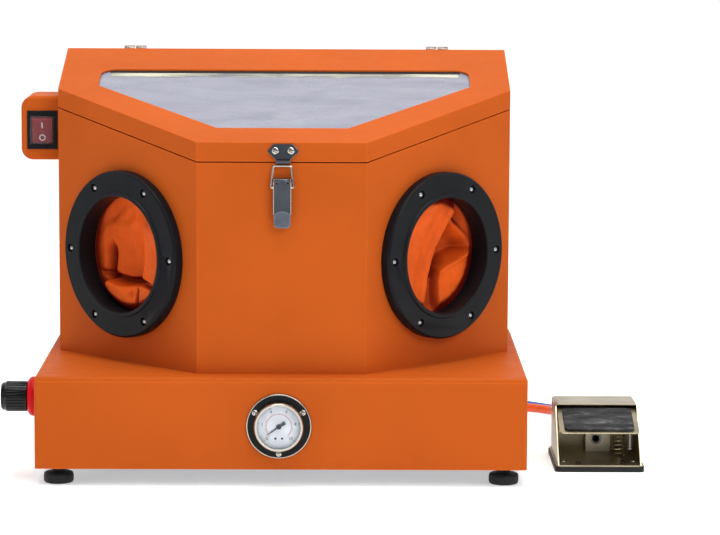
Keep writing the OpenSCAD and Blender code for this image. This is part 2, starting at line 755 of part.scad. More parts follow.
module gauge_needle() {
    color(black) at_cabinet() translate([gauge_x, 0, gauge_z]) rotate([90, 0, 0]) {
        translate([0, 0, 4.6]) cylinder(r = 1.5, h = 3.4);
        rotate([0, 0, needle_angle]) translate([0, 0, 6]) linear_extrude(0.8) {
            circle(3.4);
            polygon([[0, 1.2], [19, 0.35], [19, -0.35], [0, -1.2], [-9.5, -2.4], [-9.5, 2.4]]);
        }
    }
}
module gauge_lens() {
    color([0.9, 0.95, 1, 0.3]) at_cabinet() rod_y(gauge_x, -12, -10.4, gauge_z, 28.4);
}
module gauge_screws() {
    color(steel) at_cabinet() for (a = [30, 150, 270])
        translate([gauge_x + 35 * cos(a), -2.5, gauge_z + 35 * sin(a)]) rotate([90, 0, 0])
        pan_screw(3.5, 2.2, 1.9, 8);
}

// ---- Regulator on the left wall ----
module regulator_ring() {
    color([0.78, 0.14, 0.20]) at_cabinet() on_regulator()
        rotate_extrude() polygon([[15, 0], [red_ring_d / 2, 0], [red_ring_d / 2, 7],
            [red_ring_d / 2 - 1.2, 10], [red_ring_d / 2 - 4.5, 12.6], [15, 13]]);
}
module on_regulator() {
    translate([-base_w / 2, knob_y, knob_z]) rotate([0, -90, 0]) children();
}
module regulator_body() {
    color([0.25, 0.25, 0.27]) at_cabinet() difference() {
        union() {
            on_regulator() translate([0, 0, -52]) cylinder(r = 22, h = 50);
            on_regulator() translate([0, 0, -3]) cylinder(r = 14.9, h = 15);
            block([-300, -262], [36, 84], [62, 92]);
            translate([-281, knob_y, 40]) cylinder(r = 15, h = 24);
        }
        on_regulator() translate([0, 0, -9 - knob_pull]) cylinder(r = 9.25, h = 40);
    }
}
module regulator_sleeve() {
    color(steel) at_cabinet() on_regulator() translate([0, 0, -6]) difference() {
        cylinder(r = 9.2, h = knob_gap + 6 - gap);
        translate([0, 0, -1]) cylinder(r = 5.05, h = 30);
    }
}
module regulator_knob() {
    color(black) at_cabinet() on_regulator() {
        difference() {
            rotate_extrude() polygon([[0, knob_gap], [knob_d / 2 - 1, knob_gap], [knob_d / 2, knob_gap + 1],
                [knob_d / 2, 40], [knob_d / 2 - 1.4, 41.5], [knob_d / 2 - 2, 45],
                [knob_d / 2 - 3.6, 46.5], [0, 46.5]]);
            for (a = [0:12:348]) rotate([0, 0, a]) translate([knob_d / 2 + 0.4, 0, knob_gap + 2])
                cylinder(r = 1.3, h = 24);
        }
        translate([0, 0, -5]) cylinder(r = 5, h = 22);
    }
}

// ---- Air lines, ports ----
module air_lines() {
    base_air_lines();
    gun_air_line();
}
module base_air_lines() {
    color([0.2, 0.3, 0.7]) at_cabinet() {
        wire([[-200, 412, 60], [-200, 392, 60], [-284, 392, 60], [-284, 84, 77]], 3, 12);
        wire([[-262, 50, 77], [gauge_x, 50, gauge_z], [gauge_x, 44, gauge_z]], 3, 4);
        wire([[-288, 50, 63], [-288, 30, 34], [286, 30, 34], [286, 392, 34], [230, 396, 60],
            [230, 412, 60]], 3, 10);
    }
}
module air_inlet() {
    color(brass) at_cabinet() difference() {
        union() {
            translate([-200, base_d, 60]) rotate([-90, 0, 0]) cylinder(d = 24, h = 8, $fn = 6);
            rod_y(-200, base_d - sheet - 8, base_d + 24, 60, 8);
        }
        rod_y(-200, base_d + 6, base_d + 30, 60, 5.7);
        rod_y(-200, base_d - 20, base_d + 7, 60, 3);
    }
}
module hose_bulkhead(x, r) {
    difference() {
        union() {
            translate([x, base_d, 60]) rotate([-90, 0, 0]) cylinder(r = r + 5, h = 6, $fn = 6);
            rod_y(x, base_d - sheet - 8, base_d + port_out, 60, r + 2.5);
        }
        rod_y(x, base_d - 20, base_d + 12, 60, 3);
        rod_y(x, base_d + 11, base_d + 30, 60, r);
    }
}
module hose_bulkheads() {
    bulkhead_bodies();
    port_nuts();
}
module bulkhead_bodies() {
    color(brass) at_cabinet() {
        hose_bulkhead(230, hose_r[0]);
        hose_bulkhead(-40, hose_r[1]);
    }
}
module port_nuts() {
    color(brass) at_cabinet() for (p = rear_ports)
        translate([p[0], base_d - sheet, 60]) rotate([90, 0, 0]) difference() {
            cylinder(r = p[2] + 4.5, h = 5, $fn = 6);
            translate([0, 0, -1]) cylinder(r = p[2], h = 7);
        }
}
module cable_gland() {
    color(black) at_cabinet() difference() {
        union() {
            translate([-272, base_d, 60]) rotate([-90, 0, 0]) cylinder(d = 24, h = 6, $fn = 6);
            rod_y(-272, base_d - 12, base_d + 18, 60, 8);
        }
        rod_y(-272, base_d - 20, base_d + 20, 60, 3.5);
    }
}

// ---- Blast gun, lying on the grate, and what feeds it ----
module blast_gun() {
    gun_body();
    gun_nozzle();
}
module gun_body() {
    color([0.3, 0.3, 0.32]) at_cabinet() {
        difference() {
            union() {
                rod_x(60, 128, gun_y, gun_z, 11);
                rod_x(42, 60, gun_y, gun_z, gun_z - base_top - sheet - 2);
                translate([106, gun_y, gun_z]) rotate([-90, 0, 0]) cylinder(r = 10.5, h = 72);
            }
            rod_x(30, 150, gun_y, gun_z, 5);
        }
    }
}
module gun_nozzle() {
    color([0.85, 0.85, 0.82]) at_cabinet() difference() {
        union() {
            rod_x(14, 42 - gap, gun_y, gun_z, 7);
            rod_x(41, 56, gun_y, gun_z, 5 - gap);
        }
        rod_x(10, 60, gun_y, gun_z, 2.5);
    }
}
module gun_air_line() {
    up = line_up_at;
    color([0.15, 0.35, 0.75]) at_cabinet()
        wire([[-40, 412, 60], [-40, 396, 60], [up[0], 396, 60], [up[0], up[1], 80],
            [up[0], up[1], 200], [220, 320, 210], [160, gun_y + 4, 170], [148, gun_y, gun_z],
            [128, gun_y, gun_z]], 4, 12);
}
module media_tube() {
    suction_tube();
    suction_pickup();
}
module suction_tube() {
    d = tube_down_at;
    color([0.75, 0.75, 0.7]) at_cabinet()
        wire([[106, gun_y + 72, gun_z], [106, gun_y + 82, gun_z], [80, 350, gun_z],
            [44, d[1] + 8, gun_z], [d[0], d[1], 146], [d[0], d[1], 100], [10, 310, 66.5]], 5, 8);
}
module suction_pickup() {
    color(steel) at_cabinet() translate([10, 310, 40 + sheet]) cylinder(r = 7, h = 23);
}

// ---- Foot pedal ----
module at_pedal() { at_cabinet() translate([pedal_x, pedal_y, 0]) children(); }
module pedal_rubber_base() {
    color(rubber) at_pedal() linear_extrude(6.8) difference() {
        rrect([-pedal_w / 2, pedal_w / 2], [0, pedal_d], 7);
        for (p = pedal_screw_at) translate(p) circle(1.8);
    }
}
module pedal_base_plate() {
    color(steel) at_pedal() translate([0, 0, 6.8]) linear_extrude(1.8) difference() {
        rrect([-pedal_w / 2 + 1.6, pedal_w / 2 - 1.6], [1.4, pedal_d - 1.4], 5.5);
        for (p = pedal_screw_at) translate(p) circle(1.8);
    }
}
module pedal_cover() {
    color(steel) at_pedal() difference() {
        intersection() {
            along_x(-54, 54) difference() {
                polygon([[1, 8.6], [70, pedal_h], [138, pedal_h], [138, 8.6]]);
                translate([138 - 9, pedal_h - 9]) difference() {
                    square(10);
                    circle(9);
                }
            }
            along_y(0, 140) rrect([-54, 54], [-20, pedal_h], 5);
        }
        along_x(-52.4, 52.4) polygon([[-5, 8], [-5, 120], [70, 120], [70, pedal_h - 1.6],
            [128, pedal_h - 1.6], [136.4, pedal_h - 10], [136.4, 8]]);
        rod_x(-60, 60, pin_at[0], pin_at[1], 3);
        rod_y(hose_x[0], 130, 145, hose_z, 9);
        rod_y(hose_x[1], 130, 145, hose_z, 7);
    }
}
module on_treadle() {
    translate([0, tread_at[0], tread_at[1]]) rotate([treadle_rise, 0, 0]) children();
}
module pedal_treadle() {
    color(steel) at_pedal() difference() {
        union() {
            on_treadle() linear_extrude(1.6) rrect([-tread_half, tread_half], [0, 74], 4);
            block([-tread_half, tread_half], [74, 112], [tread_flat_z, tread_flat_z + 1.6]);
            for (s = [-1, 1]) along_x(s * (tread_half - 0.8) - 0.8, s * (tread_half - 0.8) + 0.8)
                polygon([[tread_at[0] + 6, tread_at[1] + 2], [tread_at[0] + 69, tread_flat_z + 1],
                    [112, tread_flat_z + 1], [pin_at[0] + 3, pin_at[1] + 5],
                    [pin_at[0] + 5, pin_at[1]], [pin_at[0], pin_at[1] - 5.5], [72, 46],
                    [tread_at[0] + 20, tread_at[1] - 4]]);
            translate([stop_at[0], stop_at[1], 56]) cylinder(d = 10, h = 9.2, $fn = 6);
        }
        rod_x(-60, 60, pin_at[0], pin_at[1], 3.05);
        translate([stop_at[0], stop_at[1], 50]) cylinder(r = 3, h = 14.5);
    }
}
module pedal_pad() {
    color(rubber) at_pedal() on_treadle() translate([0, 0, 1.6]) linear_extrude(3)
        rrect([-tread_half + 6, tread_half - 6], [4, 66], 7);
}
module pedal_stop_screw() {
    color(steel) at_pedal() translate([stop_at[0], stop_at[1], 18.6]) {
        cylinder(r = 3, h = 45.9);
        cylinder(r = 5, h = 3);
    }
}
module pedal_fasteners() {
    pedal_pin();
    pedal_screws();
}
module pedal_pin() {
    color(steel) at_pedal() {
        rod_x(-54, 54, pin_at[0], pin_at[1], 3);
        for (s = [-1, 1]) rod_x(s * 54.6 - 0.6, s * 54.6 + 0.6, pin_at[0], pin_at[1], 4.5);
    }
}
module pedal_spring() {
    turns = spring_turns;
    h = spring_top - 8.6 - 2;
    path = [for (i = [0:16 * turns]) let (a = i * 360 / 16) [spring_at[0] + spring_r * cos(a),
        spring_at[1] + spring_r * sin(a), 9.6 + h * i / (16 * turns)]];
    color(steel) at_pedal() tube(path, 1, 8);
}
module valve_block() {
    valve_body();
    valve_fittings();
}
module valve_body() {
    color([0.5, 0.5, 0.52]) at_pedal() difference() {
        block(valve_x, valve_y, [8.6, valve_top]);
        translate([plunger_at[0], plunger_at[1], 22]) cylinder(r = 3.55, h = 30);
        for (i = [0, 1]) rod_y(hose_x[i], 120, 140, hose_z, 3);
    }
}
module valve_plunger() {
    color(steel) at_pedal() translate([plunger_at[0], plunger_at[1], 26]) intersection() {
        cylinder(r = 3.5, h = 43.6);
        translate([0, 0, 43.6 - 8]) sphere(8);
    }
    color(steel) at_pedal() translate([plunger_at[0], plunger_at[1], 26]) cylinder(r = 3.5, h = 40);
}
module valve_fittings() {
    color(brass) at_pedal() for (i = [0, 1]) difference() {
        union() {
            rod_y(hose_x[i], valve_y[1] + gap, 150, hose_z, hose_r[i] + 2.3);
            rod_y(hose_x[i], valve_y[1] - 6, valve_y[1] + 1, hose_z, 3 - gap);
        }
        rod_y(hose_x[i], 142, 151, hose_z, hose_r[i]);
        rod_y(hose_x[i], 120, 143, hose_z, 2);
    }
}
module pedal_screws() {
    color(steel) at_pedal() for (p = pedal_screw_at)
        translate([p[0], p[1], 8.6]) pan_screw(3.2, 2, 1.6, 5);
}

// ---- Hoses ----
function unit(v) = v / norm(v);
function heading(p, i) = unit(p[min(i + 1, len(p) - 1)] - p[max(i - 1, 0)]);
// The direction u with its part along t taken away.
function square_to(u, t) = unit(u - (u * t) * t);
function first_side(t) = square_to(abs(t[2]) < 0.9 ? [0, 0, 1] : [1, 0, 0], t);
function sides_of(p) = [for (i = 0, u = first_side(heading(p, 0)); i < len(p); i = i + 1,
    u = i < len(p) ? square_to(u, heading(p, i)) : u) u];
function along(a, b, d) = a + d * unit(b - a);
// The path with each corner turned into a short curve.
function eased(p, b) = concat([p[0]], [for (i = [1:len(p) - 2], k = [0:4])
    let (q = k / 4, a = along(p[i], p[i - 1], b), c = along(p[i], p[i + 1], b))
    (1 - q) * (1 - q) * a + 2 * q * (1 - q) * p[i] + q * q * c], [p[len(p) - 1]]);
// One round tube through all the points of the path.
module tube(p, r, n) {
    us = sides_of(p);
    rings = [for (i = [0:len(p) - 1]) let (u = us[i], w = cross(heading(p, i), u))
        for (k = [0:n - 1]) p[i] + r * cos(360 * k / n) * u + r * sin(360 * k / n) * w];
    walls = [for (i = [0:len(p) - 2], k = [0:n - 1])
        [i * n + k, (i + 1) * n + k, (i + 1) * n + (k + 1) % n, i * n + (k + 1) % n]];
    ends = [[for (k = [0:n - 1]) k], [for (k = [n - 1:-1:0]) (len(p) - 1) * n + k]];
    polyhedron(rings, concat(walls, ends));
}
module orange_hose() {
    orange_hose_to_pedal();
    orange_hose_to_base();
}
module orange_hose_to_pedal() { color([0.85, 0.30, 0.12]) at_cabinet() tube(orange_run, hose_r[0], 10); }
module orange_hose_to_base() { color([0.85, 0.30, 0.12]) at_cabinet() tube(orange_lead, hose_r[0], 10); }
module orange_hose_coil() {
    color([0.85, 0.30, 0.12]) at_cabinet() coil(orange_coil, 60, hose_r[0], 2.75);
}
module blue_hose() {
    blue_hose_to_pedal();
    blue_hose_to_base();
}
module blue_hose_to_pedal() { color([0.12, 0.30, 0.72]) at_cabinet() tube(blue_run, hose_r[1], 8); }
module blue_hose_to_base() { color([0.12, 0.30, 0.72]) at_cabinet() tube(blue_lead, hose_r[1], 8); }
module blue_hose_coil() {
    color([0.12, 0.30, 0.72]) at_cabinet() coil(blue_coil, 42, hose_r[1], 3.25);
}
module coil(at, ring, r, turns) {
    translate(at) rotate_extrude() translate([ring - r, 0]) square([2 * r, 2 * r * (turns + 1)]);
}

base_housing();
base_floor_plate();
levelling_feet();
hopper();
work_grate();
cabinet_body();
glove_ring(-1);  // glove_ring_left
glove_ring(1);  // glove_ring_right
glove_ring_fasteners();
glove(-1);  // glove_left
glove(1);  // glove_right
glove_clamps();
lid_gasket();
lid_shell();
window_gasket();
window_film();
window_glass();
window_frame();
hinge_fixed_leaves();
hinge_lid_leaves();
hinge_hardware();
latch_strike();
latch_base();
latch_lever();
latch_bail();
switch_box();
switch_bezel();
rocker();
switch_boot();
light_bar();
dust_outlet();
gauge_case();
gauge_bezel();
gauge_dial();
gauge_needle();
gauge_lens();
regulator_ring();
regulator_body();
regulator_sleeve();
regulator_knob();
air_lines();
air_inlet();
hose_bulkheads();
cable_gland();
blast_gun();
media_tube();
pedal_rubber_base();
pedal_base_plate();
pedal_cover();
pedal_treadle();
pedal_pad();
pedal_stop_screw();
pedal_spring();
pedal_fasteners();
valve_block();
valve_plunger();
orange_hose();
orange_hose_coil();
blue_hose();
blue_hose_coil();
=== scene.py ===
import json
import math
import bmesh
import bpy
from mathutils import Matrix, Vector, noise


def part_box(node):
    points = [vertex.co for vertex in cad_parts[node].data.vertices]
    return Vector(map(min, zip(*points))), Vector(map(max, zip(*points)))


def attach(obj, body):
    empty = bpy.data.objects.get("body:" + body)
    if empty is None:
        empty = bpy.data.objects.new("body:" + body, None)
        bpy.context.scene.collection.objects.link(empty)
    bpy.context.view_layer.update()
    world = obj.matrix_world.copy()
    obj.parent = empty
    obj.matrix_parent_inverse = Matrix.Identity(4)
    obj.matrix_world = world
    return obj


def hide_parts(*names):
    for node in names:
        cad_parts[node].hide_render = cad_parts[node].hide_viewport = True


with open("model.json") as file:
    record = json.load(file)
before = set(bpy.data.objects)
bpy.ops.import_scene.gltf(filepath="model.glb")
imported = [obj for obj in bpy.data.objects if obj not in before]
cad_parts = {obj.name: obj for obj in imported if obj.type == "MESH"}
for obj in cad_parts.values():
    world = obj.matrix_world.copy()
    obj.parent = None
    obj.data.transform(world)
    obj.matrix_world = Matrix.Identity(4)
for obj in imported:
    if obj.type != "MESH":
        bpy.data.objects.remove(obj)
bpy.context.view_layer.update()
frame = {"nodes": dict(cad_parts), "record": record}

MM = 0.001
# The cabinet's own zero, the middle of the base's front edge on the floor, in the frame.
BASE_LOW, BASE_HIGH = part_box("base_housing")
ZERO = Vector(((BASE_LOW.x + BASE_HIGH.x) / 2, BASE_LOW.y, 0))


def at(x, y, z):
    """A place in millimetres from the cabinet's own zero, in the frame's metres."""
    return ZERO + Vector((x, y, z)) * MM


# ---- Camera ----
# The camera's place from the cabinet's own zero, its turns in degrees, and its lens.
CAMERA_PLACE = (66.3, -3875.9, 789.4)
CAMERA_PITCH, CAMERA_YAW, CAMERA_ROLL = 7.501, 0.473, 0.284
CAMERA_LENS, SENSOR_WIDTH = 156.6, 36
# How far the camera sees, in metres.
SEEN_TO = 50


def make_camera():
    """A long lens in front of the cabinet, a little above it and looking down."""
    pitch, yaw, roll = (math.radians(turn) for turn in (CAMERA_PITCH, CAMERA_YAW, CAMERA_ROLL))
    ahead = Vector((math.sin(yaw) * math.cos(pitch), math.cos(yaw) * math.cos(pitch), -math.sin(pitch)))
    level = Vector((math.cos(yaw), -math.sin(yaw), 0))
    over = level.cross(ahead)
    right = level * math.cos(roll) + over * math.sin(roll)
    up = over * math.cos(roll) - level * math.sin(roll)
    data = bpy.data.cameras.new("camera")
    data.lens = CAMERA_LENS
    data.sensor_width = SENSOR_WIDTH
    data.clip_end = SEEN_TO
    cam = bpy.data.objects.new("camera", data)
    turn = Matrix((right, up, -ahead)).transposed().to_4x4()
    cam.matrix_world = Matrix.Translation(at(*CAMERA_PLACE)) @ turn
    bpy.context.collection.objects.link(cam)
    bpy.context.scene.camera = cam


# ---- Materials ----
# The cosines between rounded and true normals over which an edge fades from its painted highlight to its
# plain colour.
EDGE_TURN = (0.86, 0.985)
# How far the painted edge highlight reaches in from an edge, in metres.
PAINT_HIGHLIGHT_REACH, MOULDED_HIGHLIGHT_REACH, METAL_HIGHLIGHT_REACH = 0.002, 0.0009, 0.0008
# How deep a surface's relief is, in metres.
PEEL_DEPTH, GRAIN_DEPTH, BRUSH_DEPTH = 0.00006, 0.00008, 0.00005


class Shader:
    """One node material: a Principled shader fed by noises in object space."""

    def __init__(self, name, rough=0.5, metal=0.0, coat=0.0, specular=0.5):
        self.mat = bpy.data.materials.new(name)
        self.mat.use_nodes = True
        self.tree = self.mat.node_tree
        self.bsdf = self.tree.nodes["Principled BSDF"]
        self.set("Roughness", rough)
        self.set("Metallic", metal)
        self.set("Coat Weight", coat)
        self.set("Specular IOR Level", specular)
        self.coords = self.node("ShaderNodeTexCoord").outputs["Object"]
        self.last_normal = None

    def set(self, socket, value):
        self.bsdf.inputs[socket].default_value = value

    def node(self, kind, **values):
        made = self.tree.nodes.new(kind)
        for key, value in values.items():
            setattr(made, key, value)
        return made

    def link(self, a, b):
        self.tree.links.new(a, b)

    def noise(self, scale, detail=4.0, rough=0.55, stretch=(1, 1, 1), distort=0.0):
        """Noise from 0 to 1, finer as scale grows, and finer along an axis that stretch enlarges."""
        mapping = self.node("ShaderNodeMapping")
        mapping.inputs["Scale"].default_value = stretch
        self.link(self.coords, mapping.inputs["Vector"])
        made = self.node("ShaderNodeTexNoise")
        made.inputs["Scale"].default_value = scale
        made.inputs["Detail"].default_value = detail
        made.inputs["Roughness"].default_value = rough
        made.inputs["Distortion"].default_value = distort
        self.link(mapping.outputs["Vector"], made.inputs["Vector"])
        return made.outputs["Fac"]

    def ramp(self, fac, stops):
        """Colours along a value, from stops of (place, colour)."""
        made = self.node("ShaderNodeValToRGB")
        ramp = made.color_ramp
        while len(ramp.elements) < len(stops):
            ramp.elements.new(0.5)
        for element, (place, colour) in zip(ramp.elements, stops):
            element.position = place
            element.color = (*colour, 1)
        self.link(fac, made.inputs["Fac"])
        return made.outputs["Color"]

    def mix(self, fac, a, b):
        """From a to b as fac goes from 0 to 1, where each is a colour or another node's output."""
        made = self.node("ShaderNodeMix", data_type="RGBA")
        self.link(fac, made.inputs["Factor"])
        for socket, value in ((made.inputs["A"], a), (made.inputs["B"], b)):
            if isinstance(value, tuple):
                socket.default_value = (*value, 1)
            else:
                self.link(value, socket)
        return made.outputs["Result"]

    def span(self, fac, low, high, start=0.3, end=0.7):
        """From low to high as fac goes from start to end, and level beyond them."""
        made = self.node("ShaderNodeMapRange")
        made.inputs["From Min"].default_value = start
        made.inputs["From Max"].default_value = end
        made.inputs["To Min"].default_value = low
        made.inputs["To Max"].default_value = high
        self.link(fac, made.inputs["Value"])
        return made.outputs["Result"]

    def edges(self, radius, most):
        """From 0 on open faces to most along edges, where the rounded normal leaves the true one."""
        round_n = self.node("ShaderNodeBevel", samples=4)
        round_n.inputs["Radius"].default_value = radius
        dot = self.node("ShaderNodeVectorMath", operation="DOT_PRODUCT")
        self.link(round_n.outputs["Normal"], dot.inputs[0])
        self.link(self.node("ShaderNodeNewGeometry").outputs["Normal"], dot.inputs[1])
        return self.span(dot.outputs["Value"], most, 0.0, *EDGE_TURN)

    def colour(self, socket):
        self.link(socket, self.bsdf.inputs["Base Color"])

    def bump(self, fac, strength, distance):
        """Relief on top of any relief that was laid before it."""
        made = self.node("ShaderNodeBump")
        made.inputs["Strength"].default_value = strength
        made.inputs["Distance"].default_value = distance
        self.link(fac, made.inputs["Height"])
        if self.last_normal is not None:
            self.link(self.last_normal, made.inputs["Normal"])
        self.last_normal = made.outputs["Normal"]
        self.link(self.last_normal, self.bsdf.inputs["Normal"])


def tone(colour, k):
    """A colour made k times as bright, up to full."""
    return tuple(min(1.0, c * k) for c in colour)


def srgb(r, g, b):
    """A colour from its display values, 0 to 255, as linear light."""
    return tuple(((c / 255 + 0.055) / 1.055) ** 2.4 if c > 10 else c / 3294.6 for c in (r, g, b))


def paint(name, colour, rough, edge_highlight, specular):
    """Powder coat: an orange-peel skin, faint blotches and edges paled by a painted highlight."""
    s = Shader(name, rough=rough, specular=specular)
    blotch = s.ramp(s.noise(7, 5), [(0.3, tone(colour, 0.93)), (0.7, tone(colour, 1.05))])
    # Painted highlight: the edges are mixed towards a paler copy of the colour.
    s.colour(s.mix(s.edges(PAINT_HIGHLIGHT_REACH, edge_highlight), blotch, tone(colour, 1.6)))
    s.link(s.span(s.noise(60, 3), rough - 0.06, rough + 0.08), s.bsdf.inputs["Roughness"])
    s.bump(s.noise(1100, 2), 0.35, PEEL_DEPTH)
    return s.mat


def moulded(name, colour, rough=0.5, grain=1400, depth=0.25, coat=0.0, edge_highlight=0.25, specular=0.3):
    """Moulded plastic or rubber: a fine grain and edges paled by a painted highlight."""
    s = Shader(name, rough=rough, coat=coat, specular=specular)
    base = s.ramp(s.noise(40, 4), [(0.3, tone(colour, 0.85)), (0.7, tone(colour, 1.15))])
    # Painted highlight: the edges are mixed towards a paler copy of the colour.
    s.colour(s.mix(s.edges(MOULDED_HIGHLIGHT_REACH, edge_highlight), base, tone(colour, 3.0)) if edge_highlight else base)
    s.link(s.span(s.noise(150, 3), rough - 0.05, rough + 0.1), s.bsdf.inputs["Roughness"])
    s.bump(s.noise(grain, 3), depth, GRAIN_DEPTH)
    return s.mat


def metal(name, colour, rough=0.3, brush=(1, 1, 1), scale=400, depth=0.1, stain=0.12, bright=1.5):
    """Bare or plated metal with brushing, stains and edges brightened by a painted highlight."""
    s = Shader(name, rough=rough, metal=1.0)
    base = s.ramp(s.noise(25, 6, 0.6), [(0.3, tone(colour, 1 - stain)), (0.7, tone(colour, 1 + stain))])
    # Painted highlight: the edges are mixed towards the colour made brighter by the factor bright.
    s.colour(s.mix(s.edges(METAL_HIGHLIGHT_REACH, 0.9), base, tone(colour, bright)))
    lines = s.noise(scale, 4, 0.6, stretch=brush)
    s.link(s.span(lines, rough - 0.07, rough + 0.1), s.bsdf.inputs["Roughness"])
    s.bump(lines, depth, BRUSH_DEPTH)
    return s.mat


def clear(name, colour, rough, alpha):
    """Clear plastic or glass, as a thin tint that lets nearly everything through."""
    s = Shader(name, rough=rough, specular=0.15)
    s.set("Alpha", alpha)
    s.colour(s.ramp(s.noise(30, 3), [(0.3, tone(colour, 0.96)), (0.7, colour)]))
    s.link(s.span(s.noise(200, 3), rough, rough + 0.05), s.bsdf.inputs["Roughness"])
    return s.mat


def window_film():
    """A hazy protective film: pale, wrinkled and streaked, so that little shows through it."""
    s = Shader("film", rough=0.25, coat=0.1, specular=0.25)
    wrinkle = s.noise(9, 5, 0.6, stretch=(1.0, 1.6, 1.0), distort=1.2)
    streak = s.noise(26, 3, 0.5, stretch=(0.35, 1.6, 1.0), distort=0.8)
    both = s.mix(streak, s.ramp(wrinkle, [(0.3, srgb(106, 106, 124)), (0.7, srgb(140, 139, 158))]),
        srgb(158, 156, 172))
    s.colour(both)
    s.set("Alpha", 0.9)
    s.link(s.span(wrinkle, 0.12, 0.4), s.bsdf.inputs["Roughness"])
    s.bump(wrinkle, 0.5, 0.004)
    s.bump(streak, 0.25, 0.001)
    return s.mat


def glove_rubber():
    """Rubber-coated cloth with painted shade that darkens it in the hollows between folds."""
    s = Shader("glove_rubber", rough=0.5, specular=0.1)
    base = (0.82, 0.115, 0.011)
    cloth = s.ramp(s.noise(22, 5), [(0.3, tone(base, 0.82)), (0.7, tone(base, 1.05))])
    # Painted shade: ambient occlusion mixes the cloth towards dark red in the creases.
    crease_shade = s.node("ShaderNodeAmbientOcclusion", samples=8)
    crease_shade.inputs["Distance"].default_value = 0.03
    s.colour(s.mix(s.span(crease_shade.outputs["AO"], 0.0, 1.0, 0.35, 0.86), (0.2, 0.008, 0.004), cloth))
    s.link(s.span(s.noise(90, 3), 0.42, 0.6), s.bsdf.inputs["Roughness"])
    s.bump(s.noise(120, 4), 0.3, 0.0006)
    s.bump(s.noise(1800, 2), 0.2, GRAIN_DEPTH)
    return s.mat


def settled_dust():
    """Pale grit, thin in places, drawn out across the window."""
    s = Shader("dust", rough=0.7, specular=0.1)
    grain = s.noise(24, 6, 0.7, stretch=(0.4, 2.2, 1.0))
    s.colour(s.ramp(grain, [(0.35, srgb(150, 150, 152)), (0.62, srgb(196, 192, 174))]))
    s.link(s.span(grain, 0.35, 1.0, 0.35, 0.6), s.bsdf.inputs["Alpha"])
    s.bump(grain, 0.5, 0.0008)
    return s.mat


def pad_rubber():
    """Worn black rubber, streaked across the foot."""
    s = Shader("pad_rubber", rough=0.5, specular=0.2)
    streak = s.noise(60, 6, 0.7, stretch=(0.5, 1.6, 1.6), distort=0.6)
    s.colour(s.ramp(streak, [(0.4, srgb(17, 17, 19)), (0.54, srgb(44, 44, 47)),
        (0.66, srgb(98, 98, 100))]))
    s.link(s.span(streak, 0.6, 0.38), s.bsdf.inputs["Roughness"])
    s.bump(streak, 0.5, 0.0004)
    return s.mat


ORANGE = (0.49, 0.089, 0.011)
MATS = {}


def make_materials():
    """One material for each slot of the record, and the few that single pieces take instead."""
    MATS.update(
        orange_paint=paint("orange_paint", ORANGE, rough=0.5, edge_highlight=0.6, specular=0.04),
        black_paint=paint("black_paint", srgb(12, 12, 15), rough=0.3, edge_highlight=0.5, specular=0.15),
        black_plastic=moulded("black_plastic", srgb(19, 20, 24), rough=0.36, edge_highlight=0.5, specular=0.1),
        gloss_black=moulded("gloss_black", srgb(6, 6, 8), rough=0.2, depth=0.08, coat=0.15, edge_highlight=0.4,
            specular=0.2),
        tab_steel=metal("tab_steel", srgb(104, 111, 122), rough=0.24, brush=(5, 1, 1), stain=0.3,
            bright=3.0),
        hinge_grey=metal("hinge_grey", srgb(128, 116, 112), rough=0.4, bright=1.3),
        spring_wire=metal("spring_wire", srgb(226, 218, 184), rough=0.25, bright=1.2),
        pad_rubber=pad_rubber(),
        dust=settled_dust(),
        red_plastic=moulded("red_plastic", srgb(196, 8, 24), rough=0.35, depth=0.08, specular=0.12,
            edge_highlight=0.0),
        rocker_red=moulded("rocker_red", srgb(112, 6, 12), rough=0.4, depth=0.08, specular=0.06),
        clear_plastic=clear("clear_plastic", srgb(205, 205, 212), 0.2, 0.04),
        chrome=metal("chrome", srgb(182, 179, 172), rough=0.2, scale=300, depth=0.03, bright=1.1),
        zinc=metal("zinc", srgb(176, 176, 180), rough=0.32, scale=500, stain=0.18),
        steel=metal("steel", srgb(182, 178, 166), rough=0.3, brush=(1, 6, 6)),
        dark_steel=metal("dark_steel", srgb(76, 79, 86), rough=0.2, brush=(5, 1, 1), stain=0.3,
            bright=5.0),
        nickel=metal("nickel", srgb(166, 156, 132), rough=0.34, brush=(1, 5, 5), stain=0.25,
            bright=2.0),
        rubber=moulded("rubber", srgb(24, 24, 26), rough=0.55, grain=500, depth=0.5, edge_highlight=0.3),
        glove_rubber=glove_rubber(),
        dial_white=moulded("dial_white", srgb(226, 230, 240), rough=0.45, depth=0.05, edge_highlight=0.0),
        glass=clear("glass", srgb(190, 200, 214), 0.03, 0.06),
        film=window_film(),
        brass=metal("brass", srgb(190, 152, 84), rough=0.3, bright=1.3),
        orange_tube=moulded("orange_tube", srgb(222, 84, 34), rough=0.3, depth=0.05, coat=0.3, edge_highlight=0.0),
        blue_tube=moulded("blue_tube", srgb(30, 84, 178), rough=0.3, depth=0.05, coat=0.3, edge_highlight=0.0),
        clear_tube=moulded("clear_tube", srgb(200, 196, 186), rough=0.3, depth=0.05, edge_highlight=0.0),
        cast_alloy=metal("cast_alloy", srgb(206, 198, 180), rough=0.5, scale=900, depth=0.2),
    )


# ---- The frame's own nodes ----
# Nodes that look different from the rest of their slot.
LOOKS = {"pedal_spring": "spring_wire", "pedal_pad": "pad_rubber", "hinge_lid_leaves": "hinge_grey",
    "hinge_fixed_leaves": "hinge_grey"}
# Nodes that are round or soft all over, and keep their meshes as they are.
SOFT = {"orange_hose", "blue_hose", "orange_hose_coil", "blue_hose_coil", "glove_left", "glove_right",
    "pedal_spring", "air_lines", "media_tube", "latch_bail", "switch_box"}
# The nodes whose plates stand a hairline apart along their seams.
HAIRLINED = {"base_housing", "hopper"}
# How near two corners have to be to be joined, in metres: across a hairline, and elsewhere.
WELD_SEAM, WELD_CLOSE = 0.00005, 0.000004
